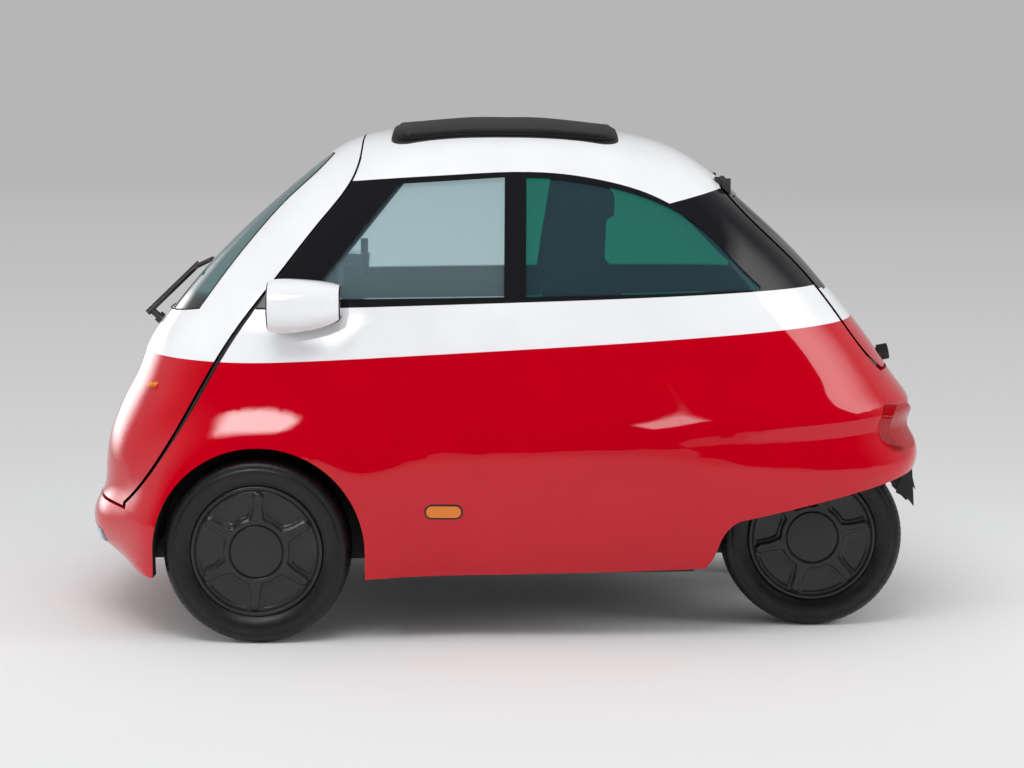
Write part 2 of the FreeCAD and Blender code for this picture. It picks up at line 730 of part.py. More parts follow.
def build_tub():
    """Floor, footwell walls, bulkhead and luggage deck, cut to the inside of the body."""
    low = size("floor_height")
    top = low + size("floor_wall")
    front, rear = size("front_tub_side"), size("rear_tub_side")
    toe, bulkhead = size("toe_station"), size("bulkhead_station")
    arch = size("liner_wall") + size("arch_radius") + 8.0
    station = size("arch_station")
    deck, deck_wall = size("deck_height"), size("deck_wall")
    solids = [
        block(bulkhead - 15, station - arch, -700, 700, low, top),
        block(station - arch - 5, toe, -front, front, low, top),
        block(toe - 12, toe, -front - 10, front + 10, low, 352),
        block(bulkhead - 15, bulkhead, -700, 700, low, deck + deck_wall),
        block(-1160, bulkhead, -700, 700, deck, deck + deck_wall),
    ]
    for way in (-1, 1):
        inner, outer = sorted((way * front, way * (front + 10)))
        solids.append(block(station - arch, toe, inner, outer, low, 575))
        inner, outer = sorted((way * rear, way * (rear + 8)))
        solids.append(block(-1150, bulkhead - 10, inner, outer, low + 130, deck))
        pad_side = way * size("jack_pad_side")
        solids.append(cylinder(size("jack_pad_radius"), (0, pad_side, size("jack_pad_height")), (0, pad_side, low + 5)))
    tub = solids[0].fuse(solids[1:]).removeSplitter()
    feature("floor_tub", tub.common(skin(size("wall") + size("seam"))))


def build_liners():
    inside = skin(size("wall") + size("seam"))
    thick = size("liner_wall")
    left = []
    for station, height, radius, tub in (
            (size("arch_station"), size("arch_height"), size("arch_radius") + 2.0, size("front_tub_side") + 10.3),
            (REAR_AXLE, AXLE_HEIGHT, size("rear_arch_radius"), size("rear_tub_side") + 8.3)):
        ring = cross_cylinder(radius + thick, station, height, tub, SIDE)
        ring = ring.cut(cross_cylinder(radius, station, height, tub - 1, SIDE))
        ring = ring.common(block(-2000, 2000, 0, SIDE, height, HIGH)).common(inside)
        left.append(ring)
    feature("wheel_arch_liners", Part.Compound(left + [mirrored_shape(shape) for shape in left]))


def build_steering():
    tilt = math.radians(size("column_tilt"))
    forward = Vector(math.cos(tilt), 0.0, -math.sin(tilt))
    centre = Vector(size("steering_station"), size("steering_side"), size("steering_height"))
    radius = size("steering_radius")
    ring = Part.makeTorus(radius, 13.0, centre, forward)
    hub = Part.makeCylinder(34.0, 46.0, centre - forward * 12.0, forward)
    spokes = []
    for turn in (0.0, 120.0, 240.0):
        arm = Part.makeBox(radius, 26.0, 8.0, Vector(0, -13, -4))
        arm.Placement = Placement(centre, Rotation(Vector(0, 0, 1), forward).multiply(
            Rotation(Vector(0, 0, 1), turn)))
        spokes.append(arm)
    feature("steering_wheel", ring.fuse([hub] + spokes).removeSplitter())
    top = centre + forward * (34.0 + size("seam"))
    knee = centre + forward * 330.0
    foot = Vector(size("front_axle_station") + 92.0, size("steering_side"), size("floor_height") + size("floor_wall"))
    column = Part.makeCylinder(27.0, (knee - top).Length, top, forward)
    shaft = Part.makeCylinder(14.0, (foot - knee).Length, knee, foot - knee)
    joint = Part.makeSphere(27.0, knee)
    stand = block(knee.x - 70, knee.x - 40, knee.y - 30, knee.y + 30, foot.z, knee.z + 20)
    shaft = shaft.common(block(0, 1500, -SIDE, SIDE, foot.z, HIGH))
    feature("steering_column", column.fuse([shaft, joint, stand]).removeSplitter())
    stalk = centre + forward * 95.0
    pod = Part.makeCylinder(62.0, 40.0, stalk + Vector(-8, 0, 78), forward)
    mast = block(stalk.x - 2, stalk.x + 30, stalk.y - 20, stalk.y + 20, stalk.z + 15, stalk.z + 60)
    feature("instrument_pod", pod.fuse(mast).cut(column).removeSplitter())
    rack_station = size("front_axle_station") + 112.0
    feature("steering_rack", fused(
        cylinder(17, (rack_station, -330, 166), (rack_station, 330, 166)),
        cylinder(24, (rack_station, 200, 160), (rack_station, 290, 160)),
        block(rack_station - 20, rack_station + 20, -260, -220, 166, size("floor_height")),
        block(rack_station - 20, rack_station + 20, 215, 265, 166, size("floor_height"))))


def soft_block(length, width, height, place, fillet):
    """Cushion with its front lower edge at place, length to the rear."""
    pad = Part.makeBox(length, width, height, Vector(-length, place.y - width / 2.0, place.z))
    pad = pad.makeFillet(fillet, pad.Edges)
    pad.translate(Vector(place.x, 0.0, 0.0))
    return pad


def build_seat():
    side = size("seat_half_width")
    top = size("floor_height") + size("floor_wall")
    base_top = size("seat_base_height")
    front, back = size("seat_front"), size("seat_back_station")
    tub = size("arch_station") - size("arch_radius") - size("liner_wall") - 12.0
    base = block(-430, tub, -side, side, top, base_top)
    base = base.cut(block(-415, tub - 15, -side + 15, side - 15, top, base_top - 12))
    base = base.cut(cross_cylinder(60, front - 130, top))
    feature("seat_base", base.common(skin(size("wall") + 5.0)))
    low = base_top + size("seam")
    cushion = soft_block(front - back - 10, 2 * side - 10, 105, Vector(front, 0, low), 32.0)
    knees = [block(tub, front + 10, *sorted((way * (size("front_tub_side") - 6.0), way * SIDE)), low, HIGH)
             for way in (-1, 1)]
    feature("seat_cushion", cushion.cut(knees))
    rake = Placement(Vector(back, 0, low + 30.0), Rotation(Vector(0, 1, 0), -size("seat_rake")))
    tall = size("seat_back_height")
    rest = soft_block(110, 2 * side - 10, tall, Vector(0, 0, 0), 32.0)
    rest.Placement = rake
    feature("seat_back", rest)
    heads = []
    for way in (-1, 1):
        middle = way * side / 2.0
        head = soft_block(85, 250, 165, Vector(-10, middle, tall + 38), 28.0)
        stems = [Part.makeCylinder(6, 80, Vector(-55, middle + shift, tall - 10)) for shift in (-50, 50)]
        head = head.fuse(stems)
        head.Placement = rake
        heads.append(head.cut(rest))
    feature("headrests", Part.Compound(heads))


def build_cabin():
    top = size("floor_height") + size("floor_wall")
    bulkhead = size("bulkhead_station") - 15.0
    feature("battery_pack", block(-400, 150, -380, 380, top, 382))
    feature("drive_motor", block(bulkhead - 285, bulkhead, -210, 210, 170, 430))
    pedals = []
    toe = size("toe_station") - 12.0
    for side in (200, 300):
        arm = block(905, 917, side - 8, side + 8, 250, 345)
        pad = block(893, 905, side - 32, side + 32, 232, 300)
        pedals.append(fused(arm, pad, block(905, toe, side - 8, side + 8, 330, 345)))
    feature("pedals", Part.Compound(pedals))
    post = cylinder(12, (470, 545, 930), (470, 545, 1050))
    foot = cylinder(12, (470, 545, 944), (470, 660, 944)).common(skin(size("wall")))
    both_sides("window_grips", post.fuse(foot).removeSplitter())


# Fittings of the door and of the tailgate

def build_door_fittings():
    axis_x, axis_y = size("door_hinge_station"), size("door_hinge_side")
    pivot = fused(
        cylinder(17, (1032, 0, 824), (1058, 0, 848)),
        cylinder(10, (1050, 0, 841), (1082, 0, 868)),
        cylinder(9, (1090, 6, 856), (936, -24, 1006)),
        cylinder(7, (930, 118, 1004), (922, -230, 1004)))
    feature("wiper", pivot.cut(skin(-size("seam"))))
    bar = cylinder(18, (840, -440, 760), (840, 440, 760))
    feature("door_crossbar", bar.common(skin(size("wall") + 0.0)))


def build_hatch_fittings():
    x, z = size("hatch_hinge_station"), size("hatch_hinge_height")
    handle = fused(cylinder(11, (-1060, 0, 742), (-1120, 0, 752)), cylinder(24, (-1112, 0, 746), (-1142, 0, 752)))
    feature("tailgate_handle", handle.cut(skin(-size("seam"))))
    body = skin(-size("seam"))
    barrels = []
    arms = []
    for y in (-size("hatch_hinge_side"), size("hatch_hinge_side")):
        barrels.append(fused(cylinder(8, (x, y - 8, z), (x, y + 8, z)),
                             block(x, x + 22, y - 8, y + 8, z - 30, z + 4)).cut(body))
        eye = [cylinder(8, (x, y + way * 8.3, z), (x, y + way * 16, z)) for way in (-1, 1)]
        leaf = [block(x - 24, x, y + min(way * 8.3, way * 16), y + max(way * 8.3, way * 16), z - 46, z)
                for way in (-1, 1)]
        for one, other in zip(eye, leaf):
            arms.append(one.fuse(other).cut(body))
    feature("tailgate_hinges", Part.Compound(barrels))
    feature("tailgate_hinge_arms", Part.Compound(arms))


def build_all():
    wall = build_panels()
    build_windows()
    build_door(wall)
    build_hatch(wall)
    build_sunroof()
    build_pods()
    build_markers()
    build_plate_carrier()
    for place, turn in zip(WHEELS, (25.0, 25.0, 10.0, 10.0)):
        build_tyre(place)
        build_wheel(place, turn)
    build_knuckles()
    build_front_suspension()
    build_rear_axle()
    build_tub()
    build_liners()
    build_steering()
    build_seat()
    build_cabin()
    build_door_fittings()
    build_hatch_fittings()


build_all()
doc.recompute()
for item in doc.Objects:
    if {"Invalid", "Error"} & set(item.State):
        raise RuntimeError(f"{item.Label} could not be made: {item.State}")
parts = [item for item in doc.Objects if item.TypeId in ("Part::Feature", "PartDesign::Body")]
for part in parts:
    if part.Shape.isNull() or not part.Shape.isValid():
        raise RuntimeError(f"{part.Label} has no valid shape")
os.makedirs("parts", exist_ok=True)
for part in parts:
    part.Shape.exportStep(f"parts/{part.Label}.step")
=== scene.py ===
import json
import math

import bmesh
import bpy
from mathutils import Matrix, Vector
from mathutils.bvhtree import BVHTree


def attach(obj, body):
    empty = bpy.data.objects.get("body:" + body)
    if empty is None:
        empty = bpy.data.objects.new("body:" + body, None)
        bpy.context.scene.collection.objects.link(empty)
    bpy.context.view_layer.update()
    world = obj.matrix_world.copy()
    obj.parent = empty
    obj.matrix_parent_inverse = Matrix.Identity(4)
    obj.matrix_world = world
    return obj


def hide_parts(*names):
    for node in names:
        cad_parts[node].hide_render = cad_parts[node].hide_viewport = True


# The look of a two-seat bubble microcar. Metres, +X to its front, +Y to its left, +Z up.

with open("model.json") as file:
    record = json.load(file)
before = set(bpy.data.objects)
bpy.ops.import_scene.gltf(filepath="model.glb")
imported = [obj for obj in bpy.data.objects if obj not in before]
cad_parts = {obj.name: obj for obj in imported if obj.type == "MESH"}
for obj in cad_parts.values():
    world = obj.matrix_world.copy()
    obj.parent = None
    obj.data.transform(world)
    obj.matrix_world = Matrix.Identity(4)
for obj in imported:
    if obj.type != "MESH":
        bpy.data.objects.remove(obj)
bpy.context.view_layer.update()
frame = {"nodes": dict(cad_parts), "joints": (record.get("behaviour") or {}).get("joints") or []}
nodes = frame["nodes"]
PIVOTS = {joint["child"]: Vector(joint["pos_m"]) for joint in frame["joints"]}

# Camera, as the photograph was taken
FOCAL_PIXELS = 2365.67
PICTURE_WIDTH = 1024
SENSOR = 36.0
CAMERA_PLACE = Vector((0.0006, 7.1042, 1.521))
CAMERA_YAW, CAMERA_PITCH, CAMERA_ROLL = -0.0013, 0.1227, -0.005

# Line between the two colours on the side view: level at the nose, then rising to the tail
PAINT_LINE_NOSE = 0.775
PAINT_LINE_START = 0.736
PAINT_LINE_RISE = 0.0600
PAINT_LINE_BLEND = 0.15
PAINT_EDGE = 0.0006


# Node graphs

class Graph:
    """The nodes of a material, world or lamp, with short forms for adding and joining them."""

    def __init__(self, owner, output):
        owner.use_nodes = True
        self.owner = owner
        self.tree = owner.node_tree
        self.tree.nodes.clear()
        self.output = self.add(output)

    def add(self, kind, inputs=None, **settings):
        node = self.tree.nodes.new("ShaderNode" + kind)
        for field, value in settings.items():
            setattr(node, field, value)
        for socket, value in (inputs or {}).items():
            self.put(value, node.inputs[socket])
        return node

    def put(self, value, socket):
        if isinstance(value, bpy.types.NodeSocket):
            self.tree.links.new(value, socket)
        elif isinstance(value, bpy.types.Node):
            self.tree.links.new(value.outputs[0], socket)
        else:
            socket.default_value = value

    def show(self, shader):
        self.put(shader, self.output.inputs["Surface"])

    def math(self, operation, *values, clamp=False):
        node = self.add("Math", dict(enumerate(values)), operation=operation, use_clamp=clamp)
        return node.outputs[0]

    def mix(self, share, first, second, kind="RGBA"):
        node = self.add("Mix", data_type=kind)
        self.put(share, node.inputs["Factor"])
        self.put(first, node.inputs["A"])
        self.put(second, node.inputs["B"])
        return node.outputs["Result"]

    def blend_numbers(self, share, first, second):
        return self.mix(share, first, second, "FLOAT")

    def scaled(self, shade, share):
        return self.add("VectorMath", {0: shade, "Scale": share}, operation="SCALE").outputs[0]

    def place(self):
        return self.add("TexCoord").outputs["Object"]

    def axes(self):
        return self.add("SeparateXYZ", {0: self.place()}).outputs

    def noise(self, scale, detail):
        node = self.add("TexNoise", {"Vector": self.place(), "Scale": scale, "Detail": detail})
        return node.outputs["Fac"]

    def clouds(self, scale, detail, first, second, low=0.3, high=0.7):
        """A number between two others that varies from place to place."""
        return self.span(self.noise(scale, detail), low, high, first, second)

    def span(self, value, low, high, first=0.0, second=1.0):
        node = self.add("MapRange", {"Value": value, "From Min": low, "From Max": high,
                                     "To Min": first, "To Max": second})
        return node.outputs["Result"]

    def bump(self, height, strength, distance):
        return self.add("Bump", {"Height": height, "Strength": strength, "Distance": distance}).outputs[0]

    def principled(self, **inputs):
        named = {name.replace("_", " "): value for name, value in inputs.items()}
        self.show(self.add("BsdfPrincipled", named))


def material_graph(name):
    return Graph(bpy.data.materials.new(name), "OutputMaterial")


def grey(value):
    return (value, value, value, 1.0)


def colour(red, green, blue):
    return (red, green, blue, 1.0)


# Materials

RED = colour(0.54, 0.0, 0.010)
WHITE = colour(0.87, 0.88, 0.90)
TRIM = colour(0.035, 0.035, 0.038)
GATE_BLACK = colour(0.010, 0.010, 0.012)
GATE_BLACK_FROM = 0.966
CABIN_MIDDLE = (0.0, 0.0, 0.65)
INWARD = -0.25
GLASS_IOR = 1.5
LENS_RIBS = 1500.0
BAND_TOP, BAND_FADE = 0.925, 0.03


def inner_side(graph):
    """1 on faces that look into the car, 0 outside and on the edges."""
    coordinates = graph.add("TexCoord")
    outward = graph.add("VectorMath", {0: coordinates.outputs["Object"], 1: CABIN_MIDDLE},
                        operation="SUBTRACT")
    unit = graph.add("VectorMath", {0: outward}, operation="NORMALIZE")
    facing = graph.add("VectorMath", {0: coordinates.outputs["Normal"], 1: unit}, operation="DOT_PRODUCT")
    return graph.math("LESS_THAN", facing.outputs["Value"], INWARD)


def paint_height(graph):
    """Height above the line between red and white, at a point of the body."""
    place = graph.axes()
    behind = graph.math("SUBTRACT", PAINT_LINE_START, place["X"])
    behind = graph.math("SMOOTH_MAX", behind, 0.0, PAINT_LINE_BLEND)
    line = graph.math("MULTIPLY_ADD", behind, PAINT_LINE_RISE, PAINT_LINE_NOSE)
    return place, graph.math("SUBTRACT", place["Z"], line)


def paint(name, black_from=None):
    """Clear-coated paint in two colours, black above a height if one is given, with trim on inner faces."""
    graph = material_graph(name)
    place, above = paint_height(graph)
    outer = graph.mix(graph.span(above, -PAINT_EDGE, PAINT_EDGE), RED, WHITE)
    if black_from is not None:
        outer = graph.mix(graph.math("GREATER_THAN", place["Z"], black_from), outer, GATE_BLACK)
    inside = inner_side(graph)
    cloudy = graph.clouds(6.0, 3.0, 0.94, 1.0)
    base = graph.mix(inside, graph.scaled(outer, cloudy), TRIM)
    peel = graph.bump(graph.noise(260.0, 1.0), 0.015, 0.002)
    coat = graph.math("SUBTRACT", 1.0, inside)
    graph.principled(Base_Color=base, Roughness=graph.blend_numbers(inside, 0.42, 0.65),
                     Specular_IOR_Level=0.0, Coat_Weight=coat, Coat_Roughness=0.02, Normal=peel)
    return graph.owner


def gloss_black(name):
    graph = material_graph(name)
    inside = inner_side(graph)
    smudge = graph.clouds(9.0, 4.0, 0.02, 0.05, low=0.35)
    graph.principled(Base_Color=colour(0.012, 0.012, 0.014), Specular_IOR_Level=0.2,
                     Roughness=graph.blend_numbers(inside, smudge, 0.6))
    return graph.owner


def moulded(name, shade, roughness=0.5, grain=900.0, depth=0.00012):
    """Moulded plastic with a fine grain."""
    graph = material_graph(name)
    cells = graph.add("TexVoronoi", {"Vector": graph.place(), "Scale": grain})
    rough = graph.clouds(14.0, 4.0, roughness - 0.06, roughness + 0.08)
    tone = graph.clouds(5.0, 2.0, 0.85, 1.1)
    graph.principled(Base_Color=graph.scaled(shade[:3], tone), Roughness=rough,
                     Normal=graph.bump(cells.outputs["Distance"], 0.5, depth))
    return graph.owner


def painted_metal(name, shade, roughness=0.45):
    graph = material_graph(name)
    rough = graph.clouds(22.0, 4.0, roughness - 0.1, roughness + 0.15, high=0.75)
    tone = graph.clouds(8.0, 3.0, 0.8, 1.15, high=0.75)
    graph.principled(Base_Color=graph.scaled(shade[:3], tone), Roughness=rough, Metallic=0.6,
                     Normal=graph.bump(graph.noise(300.0, 2.0), 0.1, 0.0004))
    return graph.owner


def glass(name, tint, clearness, painted_reflection_tint, band_top=None):
    """Thin tinted glass that mirrors by Fresnel, printed black up to the top of a band if it has one; the
    colour of its matte layer is painted reflection, standing in for the light the pane mirrors.
    """
    graph = material_graph(name)
    fresnel = graph.add("Fresnel", {"IOR": GLASS_IOR})
    ripple = graph.bump(graph.noise(3.0, 1.0), 0.02, 0.01)
    graph.put(ripple, fresnel.inputs["Normal"])
    through = graph.add("BsdfTransparent", {"Color": tint})
    # Painted reflection: the matte colour of this layer stands in for the light that the pane mirrors; its
    # gloss is real.
    body = graph.add("BsdfPrincipled", {"Base Color": painted_reflection_tint, "Roughness": 0.02, "Specular IOR Level": 0.5,
                                        "Normal": ripple})
    share = graph.math("MULTIPLY_ADD", fresnel.outputs[0], clearness, 1.0 - clearness, clamp=True)
    shader = graph.add("MixShader", {0: share, 1: through, 2: body})
    if band_top is not None:
        printed = graph.span(graph.axes()["Z"], band_top, band_top + BAND_FADE, 1.0, 0.0)
        band = graph.add("BsdfPrincipled", {"Base Color": grey(0.008), "Roughness": 0.06})
        shader = graph.add("MixShader", {0: printed, 1: shader, 2: band})
    graph.show(shader)
    return graph.owner


def lens(name, shade):
    """Ribbed coloured lens."""
    graph = material_graph(name)
    place = graph.axes()
    ribs = graph.math("SINE", graph.math("MULTIPLY", place["X"], LENS_RIBS))
    graph.principled(Base_Color=shade, Roughness=0.08, Transmission_Weight=0.12, IOR=1.49,
                     Subsurface_Weight=0.1, Subsurface_Radius=(0.01, 0.004, 0.001), Coat_Weight=0.3,
                     Normal=graph.bump(ribs, 0.25, 0.0006))
    return graph.owner


def mirror(name):
    graph = material_graph(name)
    rough = graph.clouds(12.0, 3.0, 0.01, 0.03)
    graph.principled(Base_Color=grey(0.9), Metallic=1.0, Roughness=rough)
    return graph.owner


def weave(name, shade, scale=900.0, sheen=0.35):
    """Woven cloth: two crossed sets of threads."""
    graph = material_graph(name)
    place = graph.axes()
    run = graph.math("ADD", place["X"], graph.math("MULTIPLY", place["Z"], 0.7))
    warp = graph.math("SINE", graph.math("MULTIPLY", run, scale))
    weft = graph.math("SINE", graph.math("MULTIPLY", place["Y"], scale))
    threads = graph.math("MULTIPLY", warp, weft)
    fleck = graph.clouds(120.0, 3.0, 0.75, 1.15)
    tone = graph.math("MULTIPLY", fleck, graph.span(threads, -1.0, 1.0, 0.8, 1.1))
    graph.principled(Base_Color=graph.scaled(shade[:3], tone), Roughness=0.85, Sheen_Weight=sheen,
                     Sheen_Roughness=0.4, Specular_IOR_Level=0.2, Normal=graph.bump(threads, 0.6, 0.0006))
    return graph.owner


def rubber(name):
    graph = material_graph(name)
    dust = graph.clouds(35.0, 5.0, 0.0, 1.0, low=0.45, high=0.8)
    base = graph.mix(dust, colour(0.006, 0.006, 0.0075), colour(0.013, 0.0128, 0.0132))
    rough = graph.clouds(60.0, 3.0, 0.36, 0.5)
    graph.principled(Base_Color=base, Roughness=rough, Specular_IOR_Level=0.4,
                     Normal=graph.bump(graph.noise(500.0, 2.0), 0.25, 0.0004))
    return graph.owner


MATERIALS = {
    "paint": paint("two_tone_paint"),
    "gate_paint": paint("tailgate_paint", GATE_BLACK_FROM),
    "gloss_black": gloss_black("gloss_black_trim"),
    "plastic": moulded("black_moulding", colour(0.02, 0.02, 0.021)),
    "cover": moulded("charcoal_cover", colour(0.014, 0.014, 0.0155), 0.32, 1400.0, 0.00005),
    "seal": moulded("seal_rubber", colour(0.003, 0.003, 0.0035), 0.75, 700.0),
    "lining": moulded("cabin_lining", colour(0.014, 0.014, 0.016), 0.7, 500.0, 0.0003),
    "steel": painted_metal("painted_steel", colour(0.06, 0.06, 0.062)),
    "tub": painted_metal("tub_coating", colour(0.035, 0.035, 0.037), 0.6),
    "clear_glass": glass("clear_glass", colour(0.93, 1.0, 1.0), 0.94, colour(0.62, 0.82, 0.92)),
    "screen_glass": glass("screen_glass", colour(0.74, 0.84, 0.82), 0.95, colour(0.30, 0.40, 0.42),
                          BAND_TOP),
    "tinted_glass": glass("tinted_glass", colour(0.06, 0.76, 0.66), 0.93, colour(0.20, 0.32, 0.42)),
    # Rear window glass darkened nearly to black: painted shade for the dark that the rear window shows.
    "painted_shade_glass": glass("painted_shade_glass", colour(0.03, 0.05, 0.05), 0.90, colour(0.02, 0.03, 0.03)),
    "amber": lens("amber_lens", colour(0.80, 0.22, 0.01)),
    "red_lens": lens("red_lens", colour(0.42, 0.004, 0.008)),
    "mirror": mirror("mirror_glass"),
    "seat": weave("seat_cloth", colour(0.045, 0.045, 0.05)),
    "roof_cloth": weave("roof_cloth", colour(0.007, 0.007, 0.0076), 1200.0, sheen=0.12),
    "rubber": rubber("tyre_rubber"),
}

NODE_LOOKS = {
    "paint": ["side_panel_left", "side_panel_right", "front_bumper", "tail_panel", "roof_panel",
              "door_shell", "headlamp_pods"],
    "gate_paint": ["tailgate_shell"],
    "gloss_black": ["window_frame_left", "window_frame_right"],
    "screen_glass": ["windscreen"],
    "clear_glass": ["sliding_windows", "headlamp_lenses", "bumper_lamps"],
    "tinted_glass": ["quarter_windows"],
    "painted_shade_glass": ["rear_window"],
    "amber": ["side_markers", "door_indicators"],
    "red_lens": ["tail_lamps"],
    "mirror": ["mirror_glasses"],
    "seat": ["seat_cushion", "seat_back", "headrests"],
    "roof_cloth": ["sunroof_cover"],
    "rubber": ["tyre_front_left", "tyre_front_right", "tyre_rear_left", "tyre_rear_right"],
    "cover": ["wheel_front_left", "wheel_front_right", "wheel_rear_left", "wheel_rear_right"],
    "steel": ["knuckle_left", "knuckle_right", "front_suspension", "rear_axle", "steering_rack",
              "tailgate_hinges", "tailgate_hinge_arms", "drive_motor"],
    "tub": ["floor_tub", "wheel_arch_liners", "battery_pack"],
    "plastic": ["sunroof_rail", "plate_carrier", "steering_wheel", "steering_column", "instrument_pod",
                "seat_base", "pedals", "window_grips", "wiper", "door_crossbar", "tailgate_handle"],
}


def dress_nodes():
    for look, names in NODE_LOOKS.items():
        for name in names:
            for slot in nodes[name].material_slots:
                slot.material = MATERIALS[look]


# Shapes

SIDES = (("left", 1.0), ("right", -1.0))
PANELS = ("side_panel_left", "side_panel_right")
FRAMES = ("window_frame_left", "window_frame_right")
UP = Vector((0.0, 0.0, 1.0))
# Share of a bar's direction along Z from which it counts as upright
UPRIGHT = 0.9
# Distance from the car's middle that lies outside it on every side, to look back at it from
OUTSIDE = 2.0


def smooth_step(value):
    share = min(1.0, max(0.0, value))
    return share * share * (3.0 - 2.0 * share)


def turns(steps):
    """Angles of equal steps round a circle."""
    return [2.0 * math.pi * step / steps for step in range(steps)]


def grid_faces(rows, columns, closed_rows=False):
    """Quads of a grid whose columns run round and close on themselves."""
    faces = []
    for row in range(rows if closed_rows else rows - 1):
        below, above = row * columns, (row + 1) % rows * columns
        for column in range(columns):
            after = (column + 1) % columns
            faces.append((below + column, below + after, above + after, above + column))
    return faces


def end_faces(rows, columns):
    """Flat ends of a bar whose sides come from grid_faces."""
    return [tuple(range(columns))[::-1], tuple(range((rows - 1) * columns, rows * columns))]


def add_object(name, data):
    made = bpy.data.objects.new(name, data)
    bpy.context.scene.collection.objects.link(made)
    return made


def piece(name, vertices, faces, look, body):
    """New smooth piece that rides on a body of the car."""
    mesh = bpy.data.meshes.new(name)
    mesh.from_pydata(vertices, [], faces)
    mesh.materials.append(MATERIALS[look])
    made = add_object(name, mesh)
    finish_mesh(made)
    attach(made, body)
    return made


def finish_mesh(made):
    """Outward faces, shaded smooth."""
    shape = bmesh.new()
    shape.from_mesh(made.data)
    bmesh.ops.recalc_face_normals(shape, faces=shape.faces)
    shape.to_mesh(made.data)
    shape.free()
    made.data.polygons.foreach_set("use_smooth", [True] * len(made.data.polygons))


def tube(points, radius, sides=8, closed=False):
    """Vertices and faces of a round bar along points; its radius is one number, or one for each point."""
    vertices = []
    count = len(points)
    radii = radius if isinstance(radius, list) else [radius] * count
    for index, point in enumerate(points):
        before = points[index - 1] if index or closed else point
        after = points[(index + 1) % count] if index < count - 1 or closed else point
        along = (after - before).normalized()
        side = along.orthogonal() if abs(along.z) > UPRIGHT else along.cross(UP).normalized()
        side = (side - along * side.dot(along)).normalized()
        rise = along.cross(side)
        for angle in turns(sides):
            vertices.append(point + (side * math.cos(angle) + rise * math.sin(angle)) * radii[index])
    faces = grid_faces(count, sides, closed)
    if not closed:
        faces += end_faces(count, sides)
    return vertices, faces


def slab_faces(columns, rows):
    """Faces of a thin slab made of two equal grids of points, one after the other, and its border."""
    width, under = columns + 1, (columns + 1) * (rows + 1)
    faces = []
    for row in range(rows):
        for column in range(columns):
            first = row * width + column
            corners = (first, first + 1, first + width + 1, first + width)
            faces.append(corners)
            faces.append(tuple(index + under for index in (corners[0], *corners[:0:-1])))
    border = list(range(width))
    border += [row * width + columns for row in range(1, rows + 1)]
    border += [rows * width + column for column in range(columns - 1, -1, -1)]
    border += [row * width for row in range(rows - 1, 0, -1)]
    for first, after in zip(border, border[1:] + border[:1]):
        faces.append((first, first + under, after + under, after))
    return faces, border


def surface(*names):
    """Tree of the CAD meshes to lay pieces on."""
    vertices, faces = [], []
    for name in names:
        mesh = nodes[name].data
        start = len(vertices)
        vertices += [vertex.co.copy() for vertex in mesh.vertices]
        faces += [[start + index for index in polygon.vertices] for polygon in mesh.polygons]
    return BVHTree.FromPolygons(vertices, faces)


# Wheels

TYRE_STEPS = 384
TREAD_PITCH = 4
# Outlines of a tyre as radii with their distance from its middle
SIDEWALL = [(0.1581, 0.035), (0.178, 0.047), (0.183, 0.049), (0.186, 0.0545), (0.1885, 0.0548),
            (0.190, 0.0562), (0.198, 0.0615), (0.205, 0.0645), (0.213, 0.0668), (0.222, 0.0675),
            (0.230, 0.0668), (0.2315, 0.0652), (0.2345, 0.0648), (0.236, 0.0655), (0.2455, 0.0605),
            (0.2495, 0.0575), (0.2535, 0.052), (0.2560, 0.0475)]
CARCASS = [(0.176, 0.033), (0.206, 0.0575), (0.2475, 0.0395)]
TREAD_RADIUS, TREAD_CROWN = 0.2575, 0.002
TREAD_HALF = 0.0425
TREAD_ROWS = 14
GROOVES = (-0.0225, 0.0, 0.0225)
GROOVE_HALF = 0.0034
GROOVE_DEPTH = 0.006
SIPE_STEP, SIPE_DEPTH = 0.006, 0.0035
SHOULDER, SHOULDER_NOTCH = 0.2490, 0.0024


def tread_radius(side, step):
    """Radius of the tread at a distance from its middle, with its grooves and slanted cuts."""
    radius = TREAD_RADIUS + TREAD_CROWN * (1.0 - (side / TREAD_HALF) ** 2)
    if min(abs(side - groove) for groove in GROOVES) < GROOVE_HALF:
        return radius - GROOVE_DEPTH
    slanted = (step + round(abs(side) / SIPE_STEP)) % TREAD_PITCH
    return radius - SIPE_DEPTH if slanted == 0 and abs(side) > SIPE_STEP else radius


def make_tyre(place, body):
    hub = PIVOTS[body]
    away = math.copysign(1.0, hub.y)
    tread = [TREAD_HALF * (1.0 - row / TREAD_ROWS) for row in range(2 * TREAD_ROWS + 1)]
    outline = [(radius, side) for radius, side in SIDEWALL] + [(None, side) for side in tread]
    outline += [(radius, -side) for radius, side in SIDEWALL[::-1]]
    outline += [(radius, -side) for radius, side in CARCASS] + CARCASS[::-1]
    vertices = []
    for radius, side in outline:
        for step, angle in enumerate(turns(TYRE_STEPS)):
            reach = tread_radius(side, step) if radius is None else radius
            if reach > SHOULDER and radius is not None and step % TREAD_PITCH == 0:
                reach -= SHOULDER_NOTCH
            vertices.append(hub + Vector((reach * math.cos(angle), away * side, reach * math.sin(angle))))
    faces = grid_faces(len(outline), TYRE_STEPS, True)
    tyre = piece("tread_" + place, vertices, faces, "rubber", body)
    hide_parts("tyre_" + place)


COVER_STEPS = 288
COVER_PLANE = 0.050
# Cap in the middle, with a groove round it
CAP, CAP_HEIGHT, CAP_DISH = 0.071, 0.012, 0.0015
CAP_END = CAP + 0.0055
GROOVE_EDGE, CAP_GROOVE = 0.0012, 0.006
